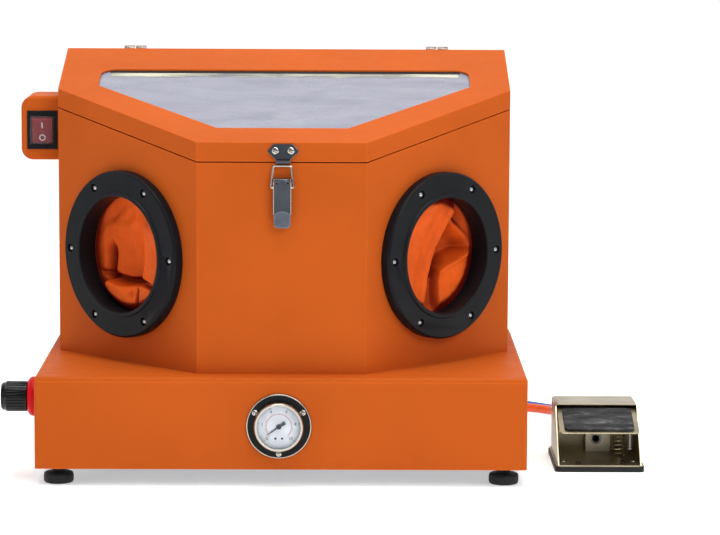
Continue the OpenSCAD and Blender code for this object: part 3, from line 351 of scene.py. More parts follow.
# Faces that turn by less than FLAT_TURN are one face, and edges sharper than EDGE_ANGLE are eased.
FLAT_TURN, EDGE_ANGLE = 0.4, 38
# How far each sheet-metal or moulded edge is rounded, in millimetres, where it isn't EDGE_WIDTH.
EDGE_WIDTH = 0.5
EDGES = {"base_housing": 0.8, "lid_shell": 0.9, "cabinet_body": 0.6, "work_grate": 0.2, "pedal_pad": 0.8,
    "window_film": 0.1, "gauge_dial": 0.1, "gauge_needle": 0.1, "gauge_case": 0.25, "regulator_knob": 0.3}


def ease_edges(o, width):
    """Round a piece's sharp edges by a width in millimetres."""
    edge = o.modifiers.new("edges", "BEVEL")
    edge.width = width * MM
    edge.segments = 2
    edge.limit_method = "ANGLE"
    edge.angle_limit = math.radians(EDGE_ANGLE)
    return edge


def dress_frame():
    """Every CAD node takes its slot's material and slightly rounded edges."""
    slots = {p["node"]: p["material_slot"] for p in frame["record"]["subparts"]}
    for name, o in frame["nodes"].items():
        o.data.materials.clear()
        o.data.materials.append(MATS[LOOKS.get(name, slots[name])])
        for p in o.data.polygons:
            p.material_index = 0
        if name not in SOFT:
            weld = o.modifiers.new("weld", "WELD")
            weld.merge_threshold = WELD_SEAM if name in HAIRLINED else WELD_CLOSE
            flat = o.modifiers.new("flat", "DECIMATE")
            flat.decimate_type = "DISSOLVE"
            flat.angle_limit = math.radians(FLAT_TURN)
            edge = ease_edges(o, EDGES.get(name, EDGE_WIDTH))
            edge.harden_normals = True
            edge.miter_outer = "MITER_ARC"


# ---- Making pieces ----
def link(o, slot, body, *nodes):
    """Put a piece in the scene with its slot's material, on a body, in place of any nodes named."""
    bpy.context.collection.objects.link(o)
    o.data.materials.append(MATS[slot])
    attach(o, body)
    if nodes:
        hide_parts(*nodes)
    return o


def mesh_piece(name, verts, faces, slot, body, *nodes, smooth=True):
    """A piece from corners in the frame's metres and its faces."""
    data = bpy.data.meshes.new(name)
    data.from_pydata([tuple(v) for v in verts], [], faces)
    data.update()
    for p in data.polygons:
        p.use_smooth = smooth
    return link(bpy.data.objects.new(name, data), slot, body, *nodes)


def curve_piece(name, points, radius, slot, body, *nodes):
    """A round cord through the points, as one smooth open spline."""
    data = bpy.data.curves.new(name, "CURVE")
    data.dimensions = "3D"
    data.bevel_depth = radius
    data.bevel_resolution = 5
    data.resolution_u = 6
    data.use_fill_caps = True
    spline = data.splines.new("BEZIER")
    spline.bezier_points.add(len(points) - 1)
    for b, p in zip(spline.bezier_points, points):
        b.co = p
        b.handle_left_type = b.handle_right_type = "AUTO"
    return link(bpy.data.objects.new(name, data), slot, body, *nodes)


# ---- Hoses ----
# Each run goes from the pedal to the coil of spare hose, and each lead from the coil to its fitting.
ORANGE_RUN = [(407.45, 242.6, 28), (407.5, 262, 28), (408, 282, 26), (408, 304, 20), (408, 328, 12),
    (408, 352, 7), (408, 378, 6), (408, 406, 6), (407, 434, 6), (405, 460, 6), (400, 484, 6),
    (390, 506, 6), (376, 524, 6), (358, 539, 6), (336, 549, 6), (312, 552, 6), (290, 546, 6),
    (270, 533, 6), (252, 516, 6), (234, 498, 6), (214, 482, 6), (192, 471, 6), (170, 466, 6)]
ORANGE_LEAD = [(211, 508, 40), (214, 492, 43), (219, 476, 49), (225, 460, 56), (229, 446, 59.6),
    (230, 432, 60)]
BLUE_RUN = [(424.45, 242.6, 28), (424.5, 260, 28), (425, 276, 26), (425, 294, 20), (425, 312, 12),
    (425, 332, 6), (425, 354, 4), (426, 378, 4), (426, 404, 4), (426, 430, 4), (425, 456, 4),
    (422, 482, 4), (416, 506, 4), (406, 527, 4), (392, 546, 4), (376, 562, 4), (360, 577, 4),
    (342, 591, 4), (322, 602, 4), (300, 608, 4), (276, 610, 4), (250, 610, 4), (222, 609, 4),
    (194, 608, 4), (166, 607, 4), (138, 606, 4), (110, 603, 4), (84, 597, 4), (58, 590, 4), (34, 584, 4)]
BLUE_LEAD = [(-32.5, 524, 30.5), (-33.5, 508, 33), (-35, 492, 39), (-36.5, 476, 47), (-38, 461, 55),
    (-39.5, 447, 59.4), (-40, 432, 60)]


# How many points each turn of a coil has.
COIL_STEPS = 12


def coil(cx, cy, ring, r, start, turns, way):
    """The points of a coil whose turns lie on each other, from the angle start, in degrees."""
    out = []
    for k in range(round(turns * COIL_STEPS) + 1):
        a = math.radians(start + way * 360 * k / COIL_STEPS)
        out.append((cx + ring * math.cos(a), cy + ring * math.sin(a), r + 2 * r * k / COIL_STEPS))
    return out


def make_hose(name, nodes, run, ring, lead, r, slot):
    """One hose of radius r: its run from the pedal, its spare length in a coil and its way in."""
    points = [at(*p) for p in run + ring + lead]
    hose = curve_piece(name, points, r * MM, slot, "cabinet", *nodes)


def make_hoses():
    """The orange and the blue air hose, each with its spare length coiled behind the cabinet."""
    make_hose("air_hose_orange", ("orange_hose", "orange_hose_coil"), ORANGE_RUN,
        coil(150, 525, 60, 6, -90, 2.75, -1), ORANGE_LEAD, 6, "orange_tube")
    make_hose("air_hose_blue", ("blue_hose", "blue_hose_coil"), BLUE_RUN,
        coil(10, 540, 42, 4, 90, 3.25, 1), BLUE_LEAD, 4, "blue_tube")


# ---- Gloves ----
# The middle of a port: how far from the cabinet's middle, how deep and how high.
PANEL = (201.25, 123.05)
PORT_Z = 279.7
PANEL_TURN = 45
SIDES = {-1: "left", 1: "right"}
# The sleeve's mesh, its radius inside the collar and its radius round the cuff.
SLEEVE_ROWS, CUFF_ROWS, SLEEVE_AROUND = 120, 4, 320
SLEEVE_RIM, CUFF = 79.0, 80.8


def port_frame(side):
    """Axes at a glove port: along the panel, up, and out of the cabinet."""
    turn = Matrix.Rotation(math.radians(side * PANEL_TURN), 4, "Z") @ Matrix.Rotation(math.pi / 2, 4, "X")
    return Matrix.Translation(at(side * PANEL[0], PANEL[1], PORT_Z)) @ turn


def ease(x):
    """A smooth step from 0 to 1."""
    x = max(0.0, min(1.0, x))
    return x * x * (3 - 2 * x)


def past(u, v, a, b):
    """How far (u, v) lies to the left of the line from a to b, and how far along it, from 0 to 1."""
    dx, dy = b[0] - a[0], b[1] - a[1]
    long = math.hypot(dx, dy)
    return ((u - a[0]) * -dy + (v - a[1]) * dx) / long, ((u - a[0]) * dx + (v - a[1]) * dy) / long ** 2


def hump(x, w):
    """A rounded ridge of height 1 at 0 that falls away over the width w."""
    return math.exp(-(x / w) ** 2)


def folds_left(u, v):
    """The left sleeve's folds, in millimetres towards the user."""
    # A slow roll that falls away near the top.
    h = 2.0 * math.sin((u + 0.5 * v) / 15) - 7 * ease((v - 28) / 26)
    # The broad fold on the right, with a crease along its left edge.
    h += 17 * ease((u - 19 - 0.03 * v) / 3.5) * ease((v + 46) / 8) - 7 * hump(u - 17, 3)
    # The deep crease near the left edge.
    h -= 16 * hump(u + 53 + 0.08 * v, 5) * ease((v + 46) / 10) * ease((16 - v) / 22)
    # The fold across the bottom, with a crease along its upper edge and a dimple in it.
    flap = -(v + 39.5 + 0.05 * (u + 20)) + 2.5 * math.sin(u / 13)
    h += 19 * ease(flap / 3) * ease((58 + u) / 16) - 9 * hump(flap + 3, 3.5)
    h -= 5 * hump(math.hypot(u - 4, v + 55), 5.5)
    return h


def folds_right(u, v):
    """The right sleeve's folds: a broad sheet, one that crosses under it, and a ridge at the edge."""
    edge, _ = past(u, v, (43, 63), (-13, -52))
    sheet = 9 + 2.6 * math.sin(edge / 7.5) + 4 * hump(edge + 7, 6) - 34 * ease(edge / 8)
    # The under sheet lies on the far side of two lines that meet low in the port.
    up, _ = past(u, v, (18, -17), (72, 8))
    low, _ = past(u, v, (-15, -52), (18, -17))
    deep = min(-up, -low)
    under = -25 + 33 * ease(deep / 9) + 3 * hump(deep - 8, 5)
    under -= 15 * ease((26 - u + 0.2 * v) / 6) * ease((deep - 3) / 5)
    off, along = past(u, v, (36, 52), (74, 12))
    ridge = -25 + 21 * hump(off, 9) * ease(along * 4) - 3 * ease((v - 20) / 20)
    return max(sheet, under, ridge)


def grid_faces(rows, around):
    """The faces of a tube whose rows of corners each go once round."""
    faces = []
    for i in range(rows - 1):
        for j in range(around):
            k = (j + 1) % around
            faces.append((i * around + j, i * around + k, (i + 1) * around + k, (i + 1) * around + j))
    return faces


def last_row(rows, around):
    """One face that closes the tube at its last row."""
    return tuple((rows - 1) * around + j for j in range(around))


def sleeve_height(side, r, a):
    """How far the folded cloth stands out of the port at a radius and angle, in millimetres."""
    u, v = r * math.cos(a), r * math.sin(a)
    grow = ease((SLEEVE_RIM - r) / 16)
    crease = noise.noise(Vector((u / 15, v / 15, side * 3.1))) * 1.6
    crease += noise.noise(Vector((u / 5.5, v / 8, side * 9.7))) * 0.55
    folds = folds_left if side < 0 else folds_right
    z = -17 - 14 * ease((SLEEVE_RIM - r) / 70) + grow * (folds(u, v) + crease)
    return min(z, -3 - 12 * (1 - grow))


def make_sleeve(side):
    """The sleeve behind a ring: its cuff round the collar, then the folds that fill the port."""
    rows, around = CUFF_ROWS + SLEEVE_ROWS, SLEEVE_AROUND
    to = port_frame(side)
    verts = []
    for i in range(rows):
        for j in range(around):
            a = 2 * math.pi * j / around
            if i < CUFF_ROWS:
                r, z = CUFF - 0.45 * i, -4 - 3.2 * i
            else:
                r = SLEEVE_RIM * (1 - (i - CUFF_ROWS) / (SLEEVE_ROWS - 1)) + 0.05
                z = sleeve_height(side, r, a)
            verts.append(to @ (Vector((r * math.cos(a), r * math.sin(a), z)) * MM))
    faces = grid_faces(rows, around) + [last_row(rows, around)]
    o = mesh_piece("sleeve_" + SIDES[side], verts, faces, "glove_rubber", "cabinet",
        "glove_" + SIDES[side])
    soften = o.modifiers.new("soften", "SMOOTH")
    soften.factor, soften.iterations = 0.5, 2
    wall = o.modifiers.new("wall", "SOLIDIFY")
    wall.thickness = 1.0 * MM


# How far apart a hand's fingers start, and how much further apart they end.
FINGER_GAP, FINGER_SPREAD = 9.5, 1.25


def limb(bm, a, b, ra, rb):
    """A round-ended tapering bar from a to b, in millimetres from the cabinet's zero."""
    line = Vector(b) - Vector(a)
    for end, r in ((a, ra), (b, rb)):
        bmesh.ops.create_uvsphere(bm, u_segments=20, v_segments=12, radius=r * MM,
            matrix=Matrix.Translation(at(*end)))
    turn = line.to_track_quat("Z", "Y").to_matrix().to_4x4()
    bmesh.ops.create_cone(bm, cap_ends=True, segments=24, radius1=ra * MM, radius2=rb * MM,
        depth=line.length * MM, matrix=Matrix.Translation(at(*(Vector(a) + line / 2))) @ turn)


def make_glove(side):
    """The arm and hand that hang from the sleeve inside the cabinet, one wrinkled skin."""
    bm = bmesh.new()
    x, y = side * (PANEL[0] - 66), PANEL[1] + 66
    cuff = (side * (PANEL[0] - 62), PANEL[1] + 62, PORT_Z - 14)
    elbow, wrist = (x, y, 246), (x, y + 10, 205)
    limb(bm, cuff, elbow, 25, 23)
    limb(bm, elbow, wrist, 22, 19)
    limb(bm, (x - 8, y + 12, 200), (x + 8, y + 12, 200), 15, 15)
    for i in range(4):
        off = (i - 1.5) * FINGER_GAP
        tip = (x + off * FINGER_SPREAD, y + 15 - 2 * i, 158 + abs(i - 1.4) * 4)
        limb(bm, (x + off, y + 12, 196), tip, 6.6, 5.2)
    limb(bm, (x + side * 14, y + 8, 202), (x + side * 24, y - 2, 178), 7.4, 5.8)
    data = bpy.data.meshes.new("glove")
    bm.to_mesh(data)
    bm.free()
    o = link(bpy.data.objects.new("hand_" + SIDES[side], data), "glove_rubber", "cabinet")
    skin = o.modifiers.new("skin", "REMESH")
    skin.mode, skin.voxel_size, skin.use_smooth_shade = "VOXEL", 2.2 * MM, True
    soften = o.modifiers.new("soften", "SMOOTH")
    soften.factor, soften.iterations = 0.5, 6
    clouds = bpy.data.textures.new("wrinkles", "CLOUDS")
    clouds.noise_scale = 0.016
    wrinkle = o.modifiers.new("wrinkle", "DISPLACE")
    wrinkle.texture, wrinkle.strength, wrinkle.texture_coords = clouds, 3.2 * MM, "GLOBAL"


# ---- Small round parts ----
def facing(x, y, z):
    """Axes at a spot on an upright face, its third axis towards the user."""
    return Matrix.Translation(at(x, y, z)) @ Matrix.Rotation(math.pi / 2, 4, "X")


def circles(profile, to, around):
    """Corners in rows round the third axis of the matrix to, one row for each (radius, height)."""
    verts = []
    for r, h in profile:
        for j in range(around):
            a = 2 * math.pi * j / around
            verts.append(to @ (Vector((r * math.cos(a), r * math.sin(a), h)) * MM))
    return verts


def lathe(name, profile, to, slot, body, *nodes, around=48):
    """A turned piece from its profile of (radius, height) in millimetres, placed by the matrix to."""
    faces = grid_faces(len(profile), around)
    faces.append(tuple(range(around))[::-1])
    faces.append(last_row(len(profile), around))
    return mesh_piece(name, circles(profile, to, around), faces, slot, body, *nodes)


def torus(name, r, wire, to, slot, body, around=96, ring=10):
    """A ring of round wire."""
    profile = []
    for k in range(ring):
        a = 2 * math.pi * k / ring
        profile.append((r + wire * math.cos(a), wire * math.sin(a)))
    faces = []
    for i in range(ring):
        for j in range(around):
            k, m = (j + 1) % around, (i + 1) % ring
            faces.append((i * around + j, m * around + j, m * around + k, i * around + k))
    return mesh_piece(name, circles(profile, to, around), faces, slot, body)


def dome(r, h, steps=8):
    """The profile of a low domed head."""
    out = [(r, 0), (r, 0.25 * h)]
    for k in range(1, steps):
        a = math.pi / 2 * k / steps
        out.append((r * math.cos(a), h * (0.25 + 0.75 * math.sin(a))))
    return out + [(0.02, h)]


# The cross recess, as shares of a head's radius: half its length, half its width.
CROSS_LONG, CROSS_WIDE = 0.55, 0.13


def cross_screw(name, to, r, h, slot, body):
    """A domed screw head whose cross recess is flat black bars on its dome: painted shade."""
    lathe(name, dome(r, h), to, slot, body, around=36)
    # Painted shade: two flat black bars stand on the dome where the recess would be.
    verts, faces = [], []
    for turn in (0, math.pi / 2):
        ca, sa = math.cos(turn + 0.5), math.sin(turn + 0.5)
        n = len(verts)
        for x, y in ((-1, -1), (1, -1), (1, 1), (-1, 1)):
            x, y = x * CROSS_LONG * r, y * CROSS_WIDE * r
            lift = h * (1.02 - 0.16 * (x * x + y * y) / (r * r))
            verts.append(to @ (Vector((x * ca - y * sa, x * sa + y * ca, lift)) * MM))
        faces.append((n, n + 1, n + 2, n + 3))
    mesh_piece(name + "_cross_recess_shade", verts, faces, "black_paint", body, smooth=False)


# A glove ring's screws: how many, the radius of their circle, and their seat's height above the panel.
RING_SCREWS, RING_CIRCLE, RING_SEAT = 6, 95, 10.5


def make_ring_screws():
    """Six bright heads at the bottom of each glove ring's counterbores."""
    for side in SIDES:
        to = port_frame(side)
        for i in range(RING_SCREWS):
            a = 2 * math.pi * i / RING_SCREWS
            place = Vector((RING_CIRCLE * math.cos(a), RING_CIRCLE * math.sin(a), RING_SEAT))
            spot = to @ Matrix.Translation(place * MM)
            tag = "%s_%d" % (SIDES[side], i)
            nodes = ("glove_ring_fasteners",) if side < 0 and i == 0 else ()
            lathe("ring_screw_" + tag, dome(3.1, 2.4), spot, "zinc", "cabinet", *nodes, around=32)


# ---- Feet ----
# A foot's outline as (radius, height), and where the feet stand from the cabinet's own zero.
FOOT_PROFILE = [(4.1, 0.3), (17, 0.3), (18.4, 1.4), (19, 4), (19, 9.5), (18.2, 12.4), (16, 13.6),
    (9.6, 14.2), (8.6, 15.5), (8.6, 21.8), (4.1, 21.8)]
FOOT_SPREAD, FOOT_DEPTHS = 282, (29, 391)


def make_feet():
    """Four rubber pads, each with a neck that meets the base."""
    places = [(x, y) for y in FOOT_DEPTHS for x in (-FOOT_SPREAD, FOOT_SPREAD)]
    for i, (x, y) in enumerate(places):
        nodes = ("levelling_feet",) if i == 0 else ()
        lathe("foot_%d" % i, FOOT_PROFILE, Matrix.Translation(at(x, y, 0)), "rubber", "cabinet", *nodes,
            around=64)


# ---- Latch plates ----
def plate(name, outline, along, depth, slot, body, *nodes, soft=0.3):
    """A flat piece: its outline in millimetres, pushed out by depth along one axis, its edges eased."""
    verts, n = [], len(outline)
    for d in depth:
        for p, q in outline:
            verts.append(at(*((d, p, q) if along == "x" else (p, d, q))))
    faces = [tuple(range(n)), tuple(range(2 * n - 1, n - 1, -1))]
    faces += [(i, n + i, n + (i + 1) % n, (i + 1) % n) for i in range(n)]
    o = mesh_piece(name, verts, faces, slot, body, *nodes, smooth=False)
    ease_edges(o, soft)
    return o


def arc(cx, cz, r, start, end, steps=14):
    """The points of an arc from one angle to another, in degrees."""
    return [(cx + r * math.cos(math.radians(start + (end - start) * k / steps)),
        cz + r * math.sin(math.radians(start + (end - start) * k / steps))) for k in range(steps + 1)]


# The middles of the latch's strike and lever, from the cabinet's middle.
STRIKE_X, LEVER_X = 1.7, 0.7
# The depth of the wall they stand on, and how thick their sheet is.
LATCH_WALL, SHEET = 28.5, 2


def make_strike():
    """The strike on the lid, with its pointed ears and rolled hook."""
    half = [(9, 411), (12, 413.4), (15.8, 417.6)] + arc(17.4, 421.6, 2.2, -40, 62, 6)
    half += [(13, 430), (10, 430.8)]
    outline = [(STRIKE_X + p, q) for p, q in half] + [(STRIKE_X - p, q) for p, q in reversed(half)]
    plate("strike_plate", outline, "y", (LATCH_WALL - SHEET, LATCH_WALL), "dark_steel", "lid",
        "latch_strike")
    hook = arc(24, 409.5, 4, 0, -180) + [(20, 411), (22, 411)] + arc(24, 409.5, 2, -180, 0)
    hook += [(26, 411.5), (28, 411.5)]
    plate("strike_hook", hook, "x", (STRIKE_X - 9, STRIKE_X + 9), "dark_steel", "lid", soft=0.25)


def make_latch_foot():
    """The flat base under the lever."""
    low, high, half = 350, 386, 8
    outline = [(LEVER_X - half, low), (LEVER_X + half, low), (LEVER_X + half, high),
        (LEVER_X - half, high)]
    plate("latch_foot", outline, "y", (LATCH_WALL - SHEET, LATCH_WALL), "dark_steel", "cabinet",
        "latch_base")


def make_latch_ear(side):
    """One of the base's two ears, which carry the lever's pin."""
    mid = LEVER_X + 7 * side
    ear = arc(22, 385, 3.2, 90, 270) + [(27.5, 381.8), (27.5, 388.2)]
    plate("latch_ear_" + SIDES[side], ear, "x", (mid - SHEET / 2, mid + SHEET / 2), "dark_steel",
        "cabinet", soft=0.2)


def make_lever_edge_highlight(side):
    """One of two thin chrome strips along the lever's sides: a painted highlight on its edges."""
    highlight_span = sorted((LEVER_X + 10.35 * side, LEVER_X + 11.3 * side))
    edge = [(17.9, 343.2), (19.8, 343.2), (19.8, 384), (17.9, 384)]
    plate("lever_edge_highlight_" + SIDES[side], edge, "x", highlight_span, "chrome", "latch_lever", soft=0.15)


def make_lever_tab():
    """The dark tab with rounded corners that a finger lifts."""
    half, top, corner = 10.1, 342.5, 4.8
    inset = half - corner
    tab = [(LEVER_X - half, top), (LEVER_X - half, 330.5)]
    tab += arc(LEVER_X - inset, 331.3, corner, 190, 268, 6)
    tab += arc(LEVER_X + inset, 331.3, corner, 272, 350, 6)
    tab += [(LEVER_X + half, top)] + arc(LEVER_X, 333, 13.9, 43, 137, 10)
    o = plate("lever_tab", tab, "y", (17.75, 18.05), "dark_steel", "latch_lever", soft=0.1)
    o.data.materials[0] = MATS["tab_steel"]


# ---- Window edge ----
LID_SLOPE = math.radians(15.5)
# The depth and height of the front edge of the lid's outer face.
LID_TOP = (28.5, 432.55)
# How thick a strip along the window is.
STRIP = 0.25


def window_strip(name, half, near, far, down, slot, ragged=0.0):
    """A thin strip across the window from the depth near to far, set down below the lid's outer face."""
    verts, steps = [], 80
    out = Vector((0, -math.sin(LID_SLOPE), math.cos(LID_SLOPE)))
    for k in range(steps + 1):
        x = half * (2 * k / steps - 1)
        rough = ragged * noise.noise(Vector((x / 24, 1.7, 0.4)))
        rough += 0.4 * ragged * noise.noise(Vector((x / 7, 8.3, 2)))
        for y in (near + rough, far):
            spot = at(x, y, LID_TOP[1] + math.tan(LID_SLOPE) * (y - LID_TOP[0]))
            verts += [spot - out * down * MM, spot - out * (down + STRIP) * MM]
    faces = [(0, 2, 3, 1), tuple(4 * steps + j for j in (0, 1, 3, 2))]
    for k in range(steps):
        i = 4 * k
        for p, q in ((0, 2), (2, 3), (3, 1), (1, 0)):
            faces.append((i + p, i + 4 + p, i + 4 + q, i + q))
    return mesh_piece(name, verts, faces, slot, "lid", smooth=False)


def window_edge():
    """A dark rubber strip along the window's upper edge, both a gasket and painted shade under the lid's
    top plate, and the dust that has settled below it.
    """
    window_strip("window_gasket_and_shade", 232, 284.2, 291.9, 2.45, "rubber")
    dust = window_strip("window_dust", 230, 272, 284.4, 2.7, "film", 5.0)
    dust.data.materials[0] = MATS["dust"]


# ---- Gauge ----
# The middle of the gauge, from the cabinet's middle and the floor.
GAUGE = (-2.7, 77.7)
# Where the dial's scales start and how far they sweep, in degrees.
SCALE_START, SCALE_SWEEP = 225, 270
# How far marks and figures stand off the dial, and how thick a figure is.
INK_LIFT, FIGURE_LIFT, FIGURE_DEEP = 0.15, 0.2, 0.05
# The radius of the figures' circle, their height, and how many there are.
FIGURE_CIRCLE, FIGURE_SIZE, FIGURES = 21.2, 5.2, 6


def on_scale(share):
    """The angle at a share of the way along the scale."""
    return math.radians(SCALE_START - SCALE_SWEEP * share)


def ticks(name, marks, slot):
    """Radial marks just above the dial, each as (share of the scale, inner and outer radius, width)."""
    low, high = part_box("gauge_dial")
    cx, cz, y = (low.x + high.x) / 2, (low.z + high.z) / 2, low.y
    verts, faces = [], []
    for share, inner, outer, width in marks:
        ca, sa = math.cos(on_scale(share)), math.sin(on_scale(share))
        n = len(verts)
        for r, side in ((inner, -1), (outer, -1), (outer, 1), (inner, 1)):
            verts.append((cx + (r * ca - side * width / 2 * sa) * MM, y - INK_LIFT * MM,
                cz + (r * sa + side * width / 2 * ca) * MM))
        faces.append((n, n + 1, n + 2, n + 3))
    mesh_piece(name, verts, faces, slot, "cabinet", smooth=False)


def number(name, words, place):
    """One printed figure, standing just off the dial."""
    data = bpy.data.curves.new(name, "FONT")
    data.body = words
    data.size = FIGURE_SIZE * MM
    data.align_x = data.align_y = "CENTER"
    data.extrude = FIGURE_DEEP * MM
    o = bpy.data.objects.new(name, data)
    lifted = Vector(place) - Vector((0, FIGURE_LIFT * MM, 0))
    o.matrix_world = Matrix.Translation(lifted) @ Matrix.Rotation(math.pi / 2, 4, "X")
    link(o, "black_paint", "cabinet")


def gauge_face():
    """A black scale of fifty steps, a red one of thirty-two on its own arc, and plain figures."""
    black = [(i / 50, 24.6, 27.2, 0.55) if i % 10 == 0 else (i / 50, 25.6, 27.2, 0.3) for i in range(51)]
    red = [(i / 32, 16, 18.2 if i % 4 == 0 else 17.2, 0.4) for i in range(33)]
    red_arc = [(i / 90, 15.6, 16.0, 0.9) for i in range(90)]
    ticks("dial_ticks", black, "black_paint")
    ticks("dial_red_scale", red + red_arc, "red_plastic")
    low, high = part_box("gauge_dial")
    for i in range(FIGURES):
        a = on_scale(i / (FIGURES - 1))
        place = ((low.x + high.x) / 2 + FIGURE_CIRCLE * MM * math.cos(a), low.y,
            (low.z + high.z) / 2 + FIGURE_CIRCLE * MM * math.sin(a))
        number("dial_number_%d" % i, str(i * 2), place)


def gauge_trim():
    """The flange's bright edge, its three screw heads and the dial's two dots."""
    torus("gauge_edge", 40.1, 0.9, facing(GAUGE[0], -2.2, GAUGE[1]), "chrome", "cabinet")
    for i in range(3):
        a = math.radians(30 + 120 * i)
        spot = facing(GAUGE[0] + 35 * math.cos(a), -2.5, GAUGE[1] + 35 * math.sin(a))
        cross_screw("gauge_screw_%d" % i, spot, 3.7, 2.5, "chrome", "cabinet")
    for side in SIDES:
        spot = facing(GAUGE[0] + 4.2 * side, -5.35, GAUGE[1] - 15)
        lathe("dial_dot_%d" % (side + 1), [(1.5, 0), (1.5, 0.2)], spot, "black_paint", "cabinet",
            around=24)


def strike_heads():
    """The strike's two screw heads."""
    for side in SIDES:
        spot = facing(STRIKE_X + 9.8 * side, LATCH_WALL - SHEET, 422.3)
        cross_screw("strike_screw_%d" % (side + 1), spot, 4.7, 2.4, "chrome", "lid")


# ---- Pedal ----
# The middle of the pedal's front edge, and the height of the base plate's upper face.
PEDAL = (410.45, 100.6)
PEDAL_FLOOR = 8.6
# The valve's port, from the middle of the front edge, and its height.
VALVE_PORT = (2.5, 97.9, 26)
# Each head in the pedal's floor: its place from the front edge's middle, its radius and its slot.
PEDAL_HEADS = [(-45.2, 30, 4.8, "chrome"), (45.5, 30, 4.8, "chrome"), (-26.9, 18.4, 3.4, "gloss_black"),
    (31, 19.4, 3.4, "gloss_black")]


def pedal_details():
    """The valve's front port, two bright screws and two dark rivets in the pedal's floor."""
    spot = facing(PEDAL[0] + VALVE_PORT[0], PEDAL[1] + VALVE_PORT[1], VALVE_PORT[2])
    torus("valve_port_rim", 6.4, 1.0, spot, "chrome", "cabinet", around=48)
    port = [(5.0, -0.4), (5.0, 0.3), (3.2, 0.3), (3.0, -0.1)]
    lathe("valve_port", port, spot, "gloss_black", "cabinet")
    for i, (x, y, r, slot) in enumerate(PEDAL_HEADS):
        to = Matrix.Translation(at(PEDAL[0] + x, PEDAL[1] + y, PEDAL_FLOOR))
        lathe("pedal_screw_%d" % i, dome(r, 2.3), to, slot, "cabinet", around=32)


# ---- Rocker marks ----
# The rocker's pivot, in depth and height, and its tilt at rest.
ROCKER_PIVOT, ROCKER_TILT = (256, 427.8), 12
# Half the rocker's height, and how much further out its ends stand than its middle.
ROCKER_HALF, ROCKER_DIP = 15.2, 3.2
# The depth of a mark at the middle, from the pivot.
MARK_OUT = -7.15
MARK_STEPS = 40


def on_rocker(px, h):
    """A place on the rocker's bent face, across it and up it from its middle."""
    low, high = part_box("rocker")
    pivot = Vector(((low.x + high.x) / 2, at(0, ROCKER_PIVOT[0], 0).y, at(0, 0, ROCKER_PIVOT[1]).z))
    tilt = Matrix.Rotation(math.radians(ROCKER_TILT), 4, "X")
    place = Vector((px, MARK_OUT - abs(h) * ROCKER_DIP / ROCKER_HALF, h))
    return Matrix.Translation(pivot) @ tilt @ (place * MM)


def rocker_marks():
    """A bar above the middle and a ring below it, printed in white."""
    bar = [on_rocker(px, h) for px, h in ((-0.5, 4.5), (0.5, 4.5), (0.5, 12.5), (-0.5, 12.5))]
    mesh_piece("mark_on", bar, [(0, 1, 2, 3)], "dial_white", "rocker", smooth=False)
    ring = []
    for r in (3.1, 4.0):
        for k in range(MARK_STEPS):
            a = 2 * math.pi * k / MARK_STEPS
            ring.append(on_rocker(r * math.cos(a), -8.5 + r * math.sin(a)))
    mesh_piece("mark_off", ring, grid_faces(2, MARK_STEPS), "dial_white", "rocker", smooth=False)


# ---- Studio ----
# Half the floor's width, and how strongly it glows.
FLOOR_HALF, FLOOR_GLOW = 5, 0.33
# How the sky brightens from the front to the back.
SKY = {"From Min": -0.35, "From Max": 0.5, "To Min": 0.3, "To Max": 1.08}
WHITE, GREENISH = (1, 1, 1), (0.95, 1.0, 0.93)
# Each light: its name, place, the spot it points at, its power, width and tint.
LIGHTS = [("key", (1.6, -2.4, 2.2), (0, 0, 0.3), 38, 1.4, WHITE),
    ("fill", (-2.4, -2.0, 1.2), (0, 0, 0.3), 6, 1.6, WHITE),
    ("top", (0, -0.5, 3.0), (0, -0.1, 0.3), 76, 2.0, GREENISH)]


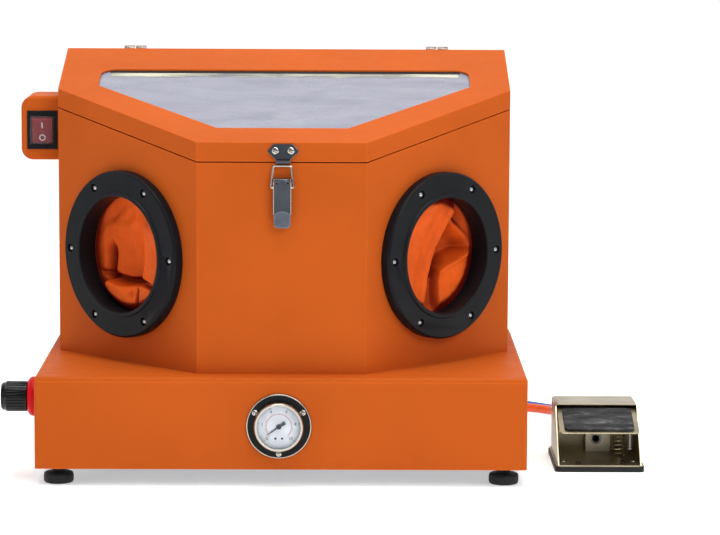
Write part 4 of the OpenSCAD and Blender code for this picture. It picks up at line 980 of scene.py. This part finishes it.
def make_floor():
    """A wide white floor that glows a little, so that it meets the sky unseen."""
    data = bpy.data.meshes.new("floor")
    corners = [(x * FLOOR_HALF, y * FLOOR_HALF, 0) for x, y in ((-1, -1), (1, -1), (1, 1), (-1, 1))]
    data.from_pydata(corners, [], [(0, 1, 2, 3)])
    floor = bpy.data.objects.new("floor", data)
    bpy.context.collection.objects.link(floor)
    s = Shader("floor", rough=0.75)
    s.colour(s.ramp(s.noise(0.6, 3), [(0.3, (0.9, 0.9, 0.9)), (0.7, (0.93, 0.93, 0.93))]))
    s.set("Emission Color", (*WHITE, 1))
    s.set("Emission Strength", FLOOR_GLOW)
    data.materials.append(s.mat)


def make_sky():
    """A white sky, dim in front of the cabinet and bright behind it."""
    world = bpy.data.worlds.new("studio")
    world.use_nodes = True
    tree = world.node_tree
    parts = tree.nodes.new("ShaderNodeSeparateXYZ")
    tree.links.new(tree.nodes.new("ShaderNodeTexCoord").outputs["Generated"], parts.inputs[0])
    fall = tree.nodes.new("ShaderNodeMapRange")
    fall.interpolation_type = "SMOOTHSTEP"
    for socket, value in SKY.items():
        fall.inputs[socket].default_value = value
    tree.links.new(parts.outputs["Y"], fall.inputs["Value"])
    tree.links.new(fall.outputs["Result"], tree.nodes["Background"].inputs["Strength"])
    tree.nodes["Background"].inputs["Color"].default_value = (*WHITE, 1)
    bpy.context.scene.world = world


def make_lights():
    """Three soft panels of light."""
    for name, place, aim, power, width, tint in LIGHTS:
        light = bpy.data.lights.new(name, "AREA")
        light.energy = power
        light.size = width
        light.color = tint
        o = bpy.data.objects.new(name, light)
        o.location = place
        o.rotation_euler = (Vector(aim) - Vector(place)).to_track_quat("-Z", "Y").to_euler()
        bpy.context.collection.objects.link(o)
    bpy.context.scene.view_settings.view_transform = "Standard"


make_camera()
make_materials()
make_hoses()
dress_frame()
for side in SIDES:
    make_sleeve(side)
    make_glove(side)
make_ring_screws()
make_feet()
make_strike()
make_latch_foot()
for side in SIDES:
    make_latch_ear(side)
    make_lever_edge_highlight(side)
make_lever_tab()
window_edge()
gauge_face()
gauge_trim()
strike_heads()
pedal_details()
rocker_marks()
make_floor()
make_sky()
make_lights()
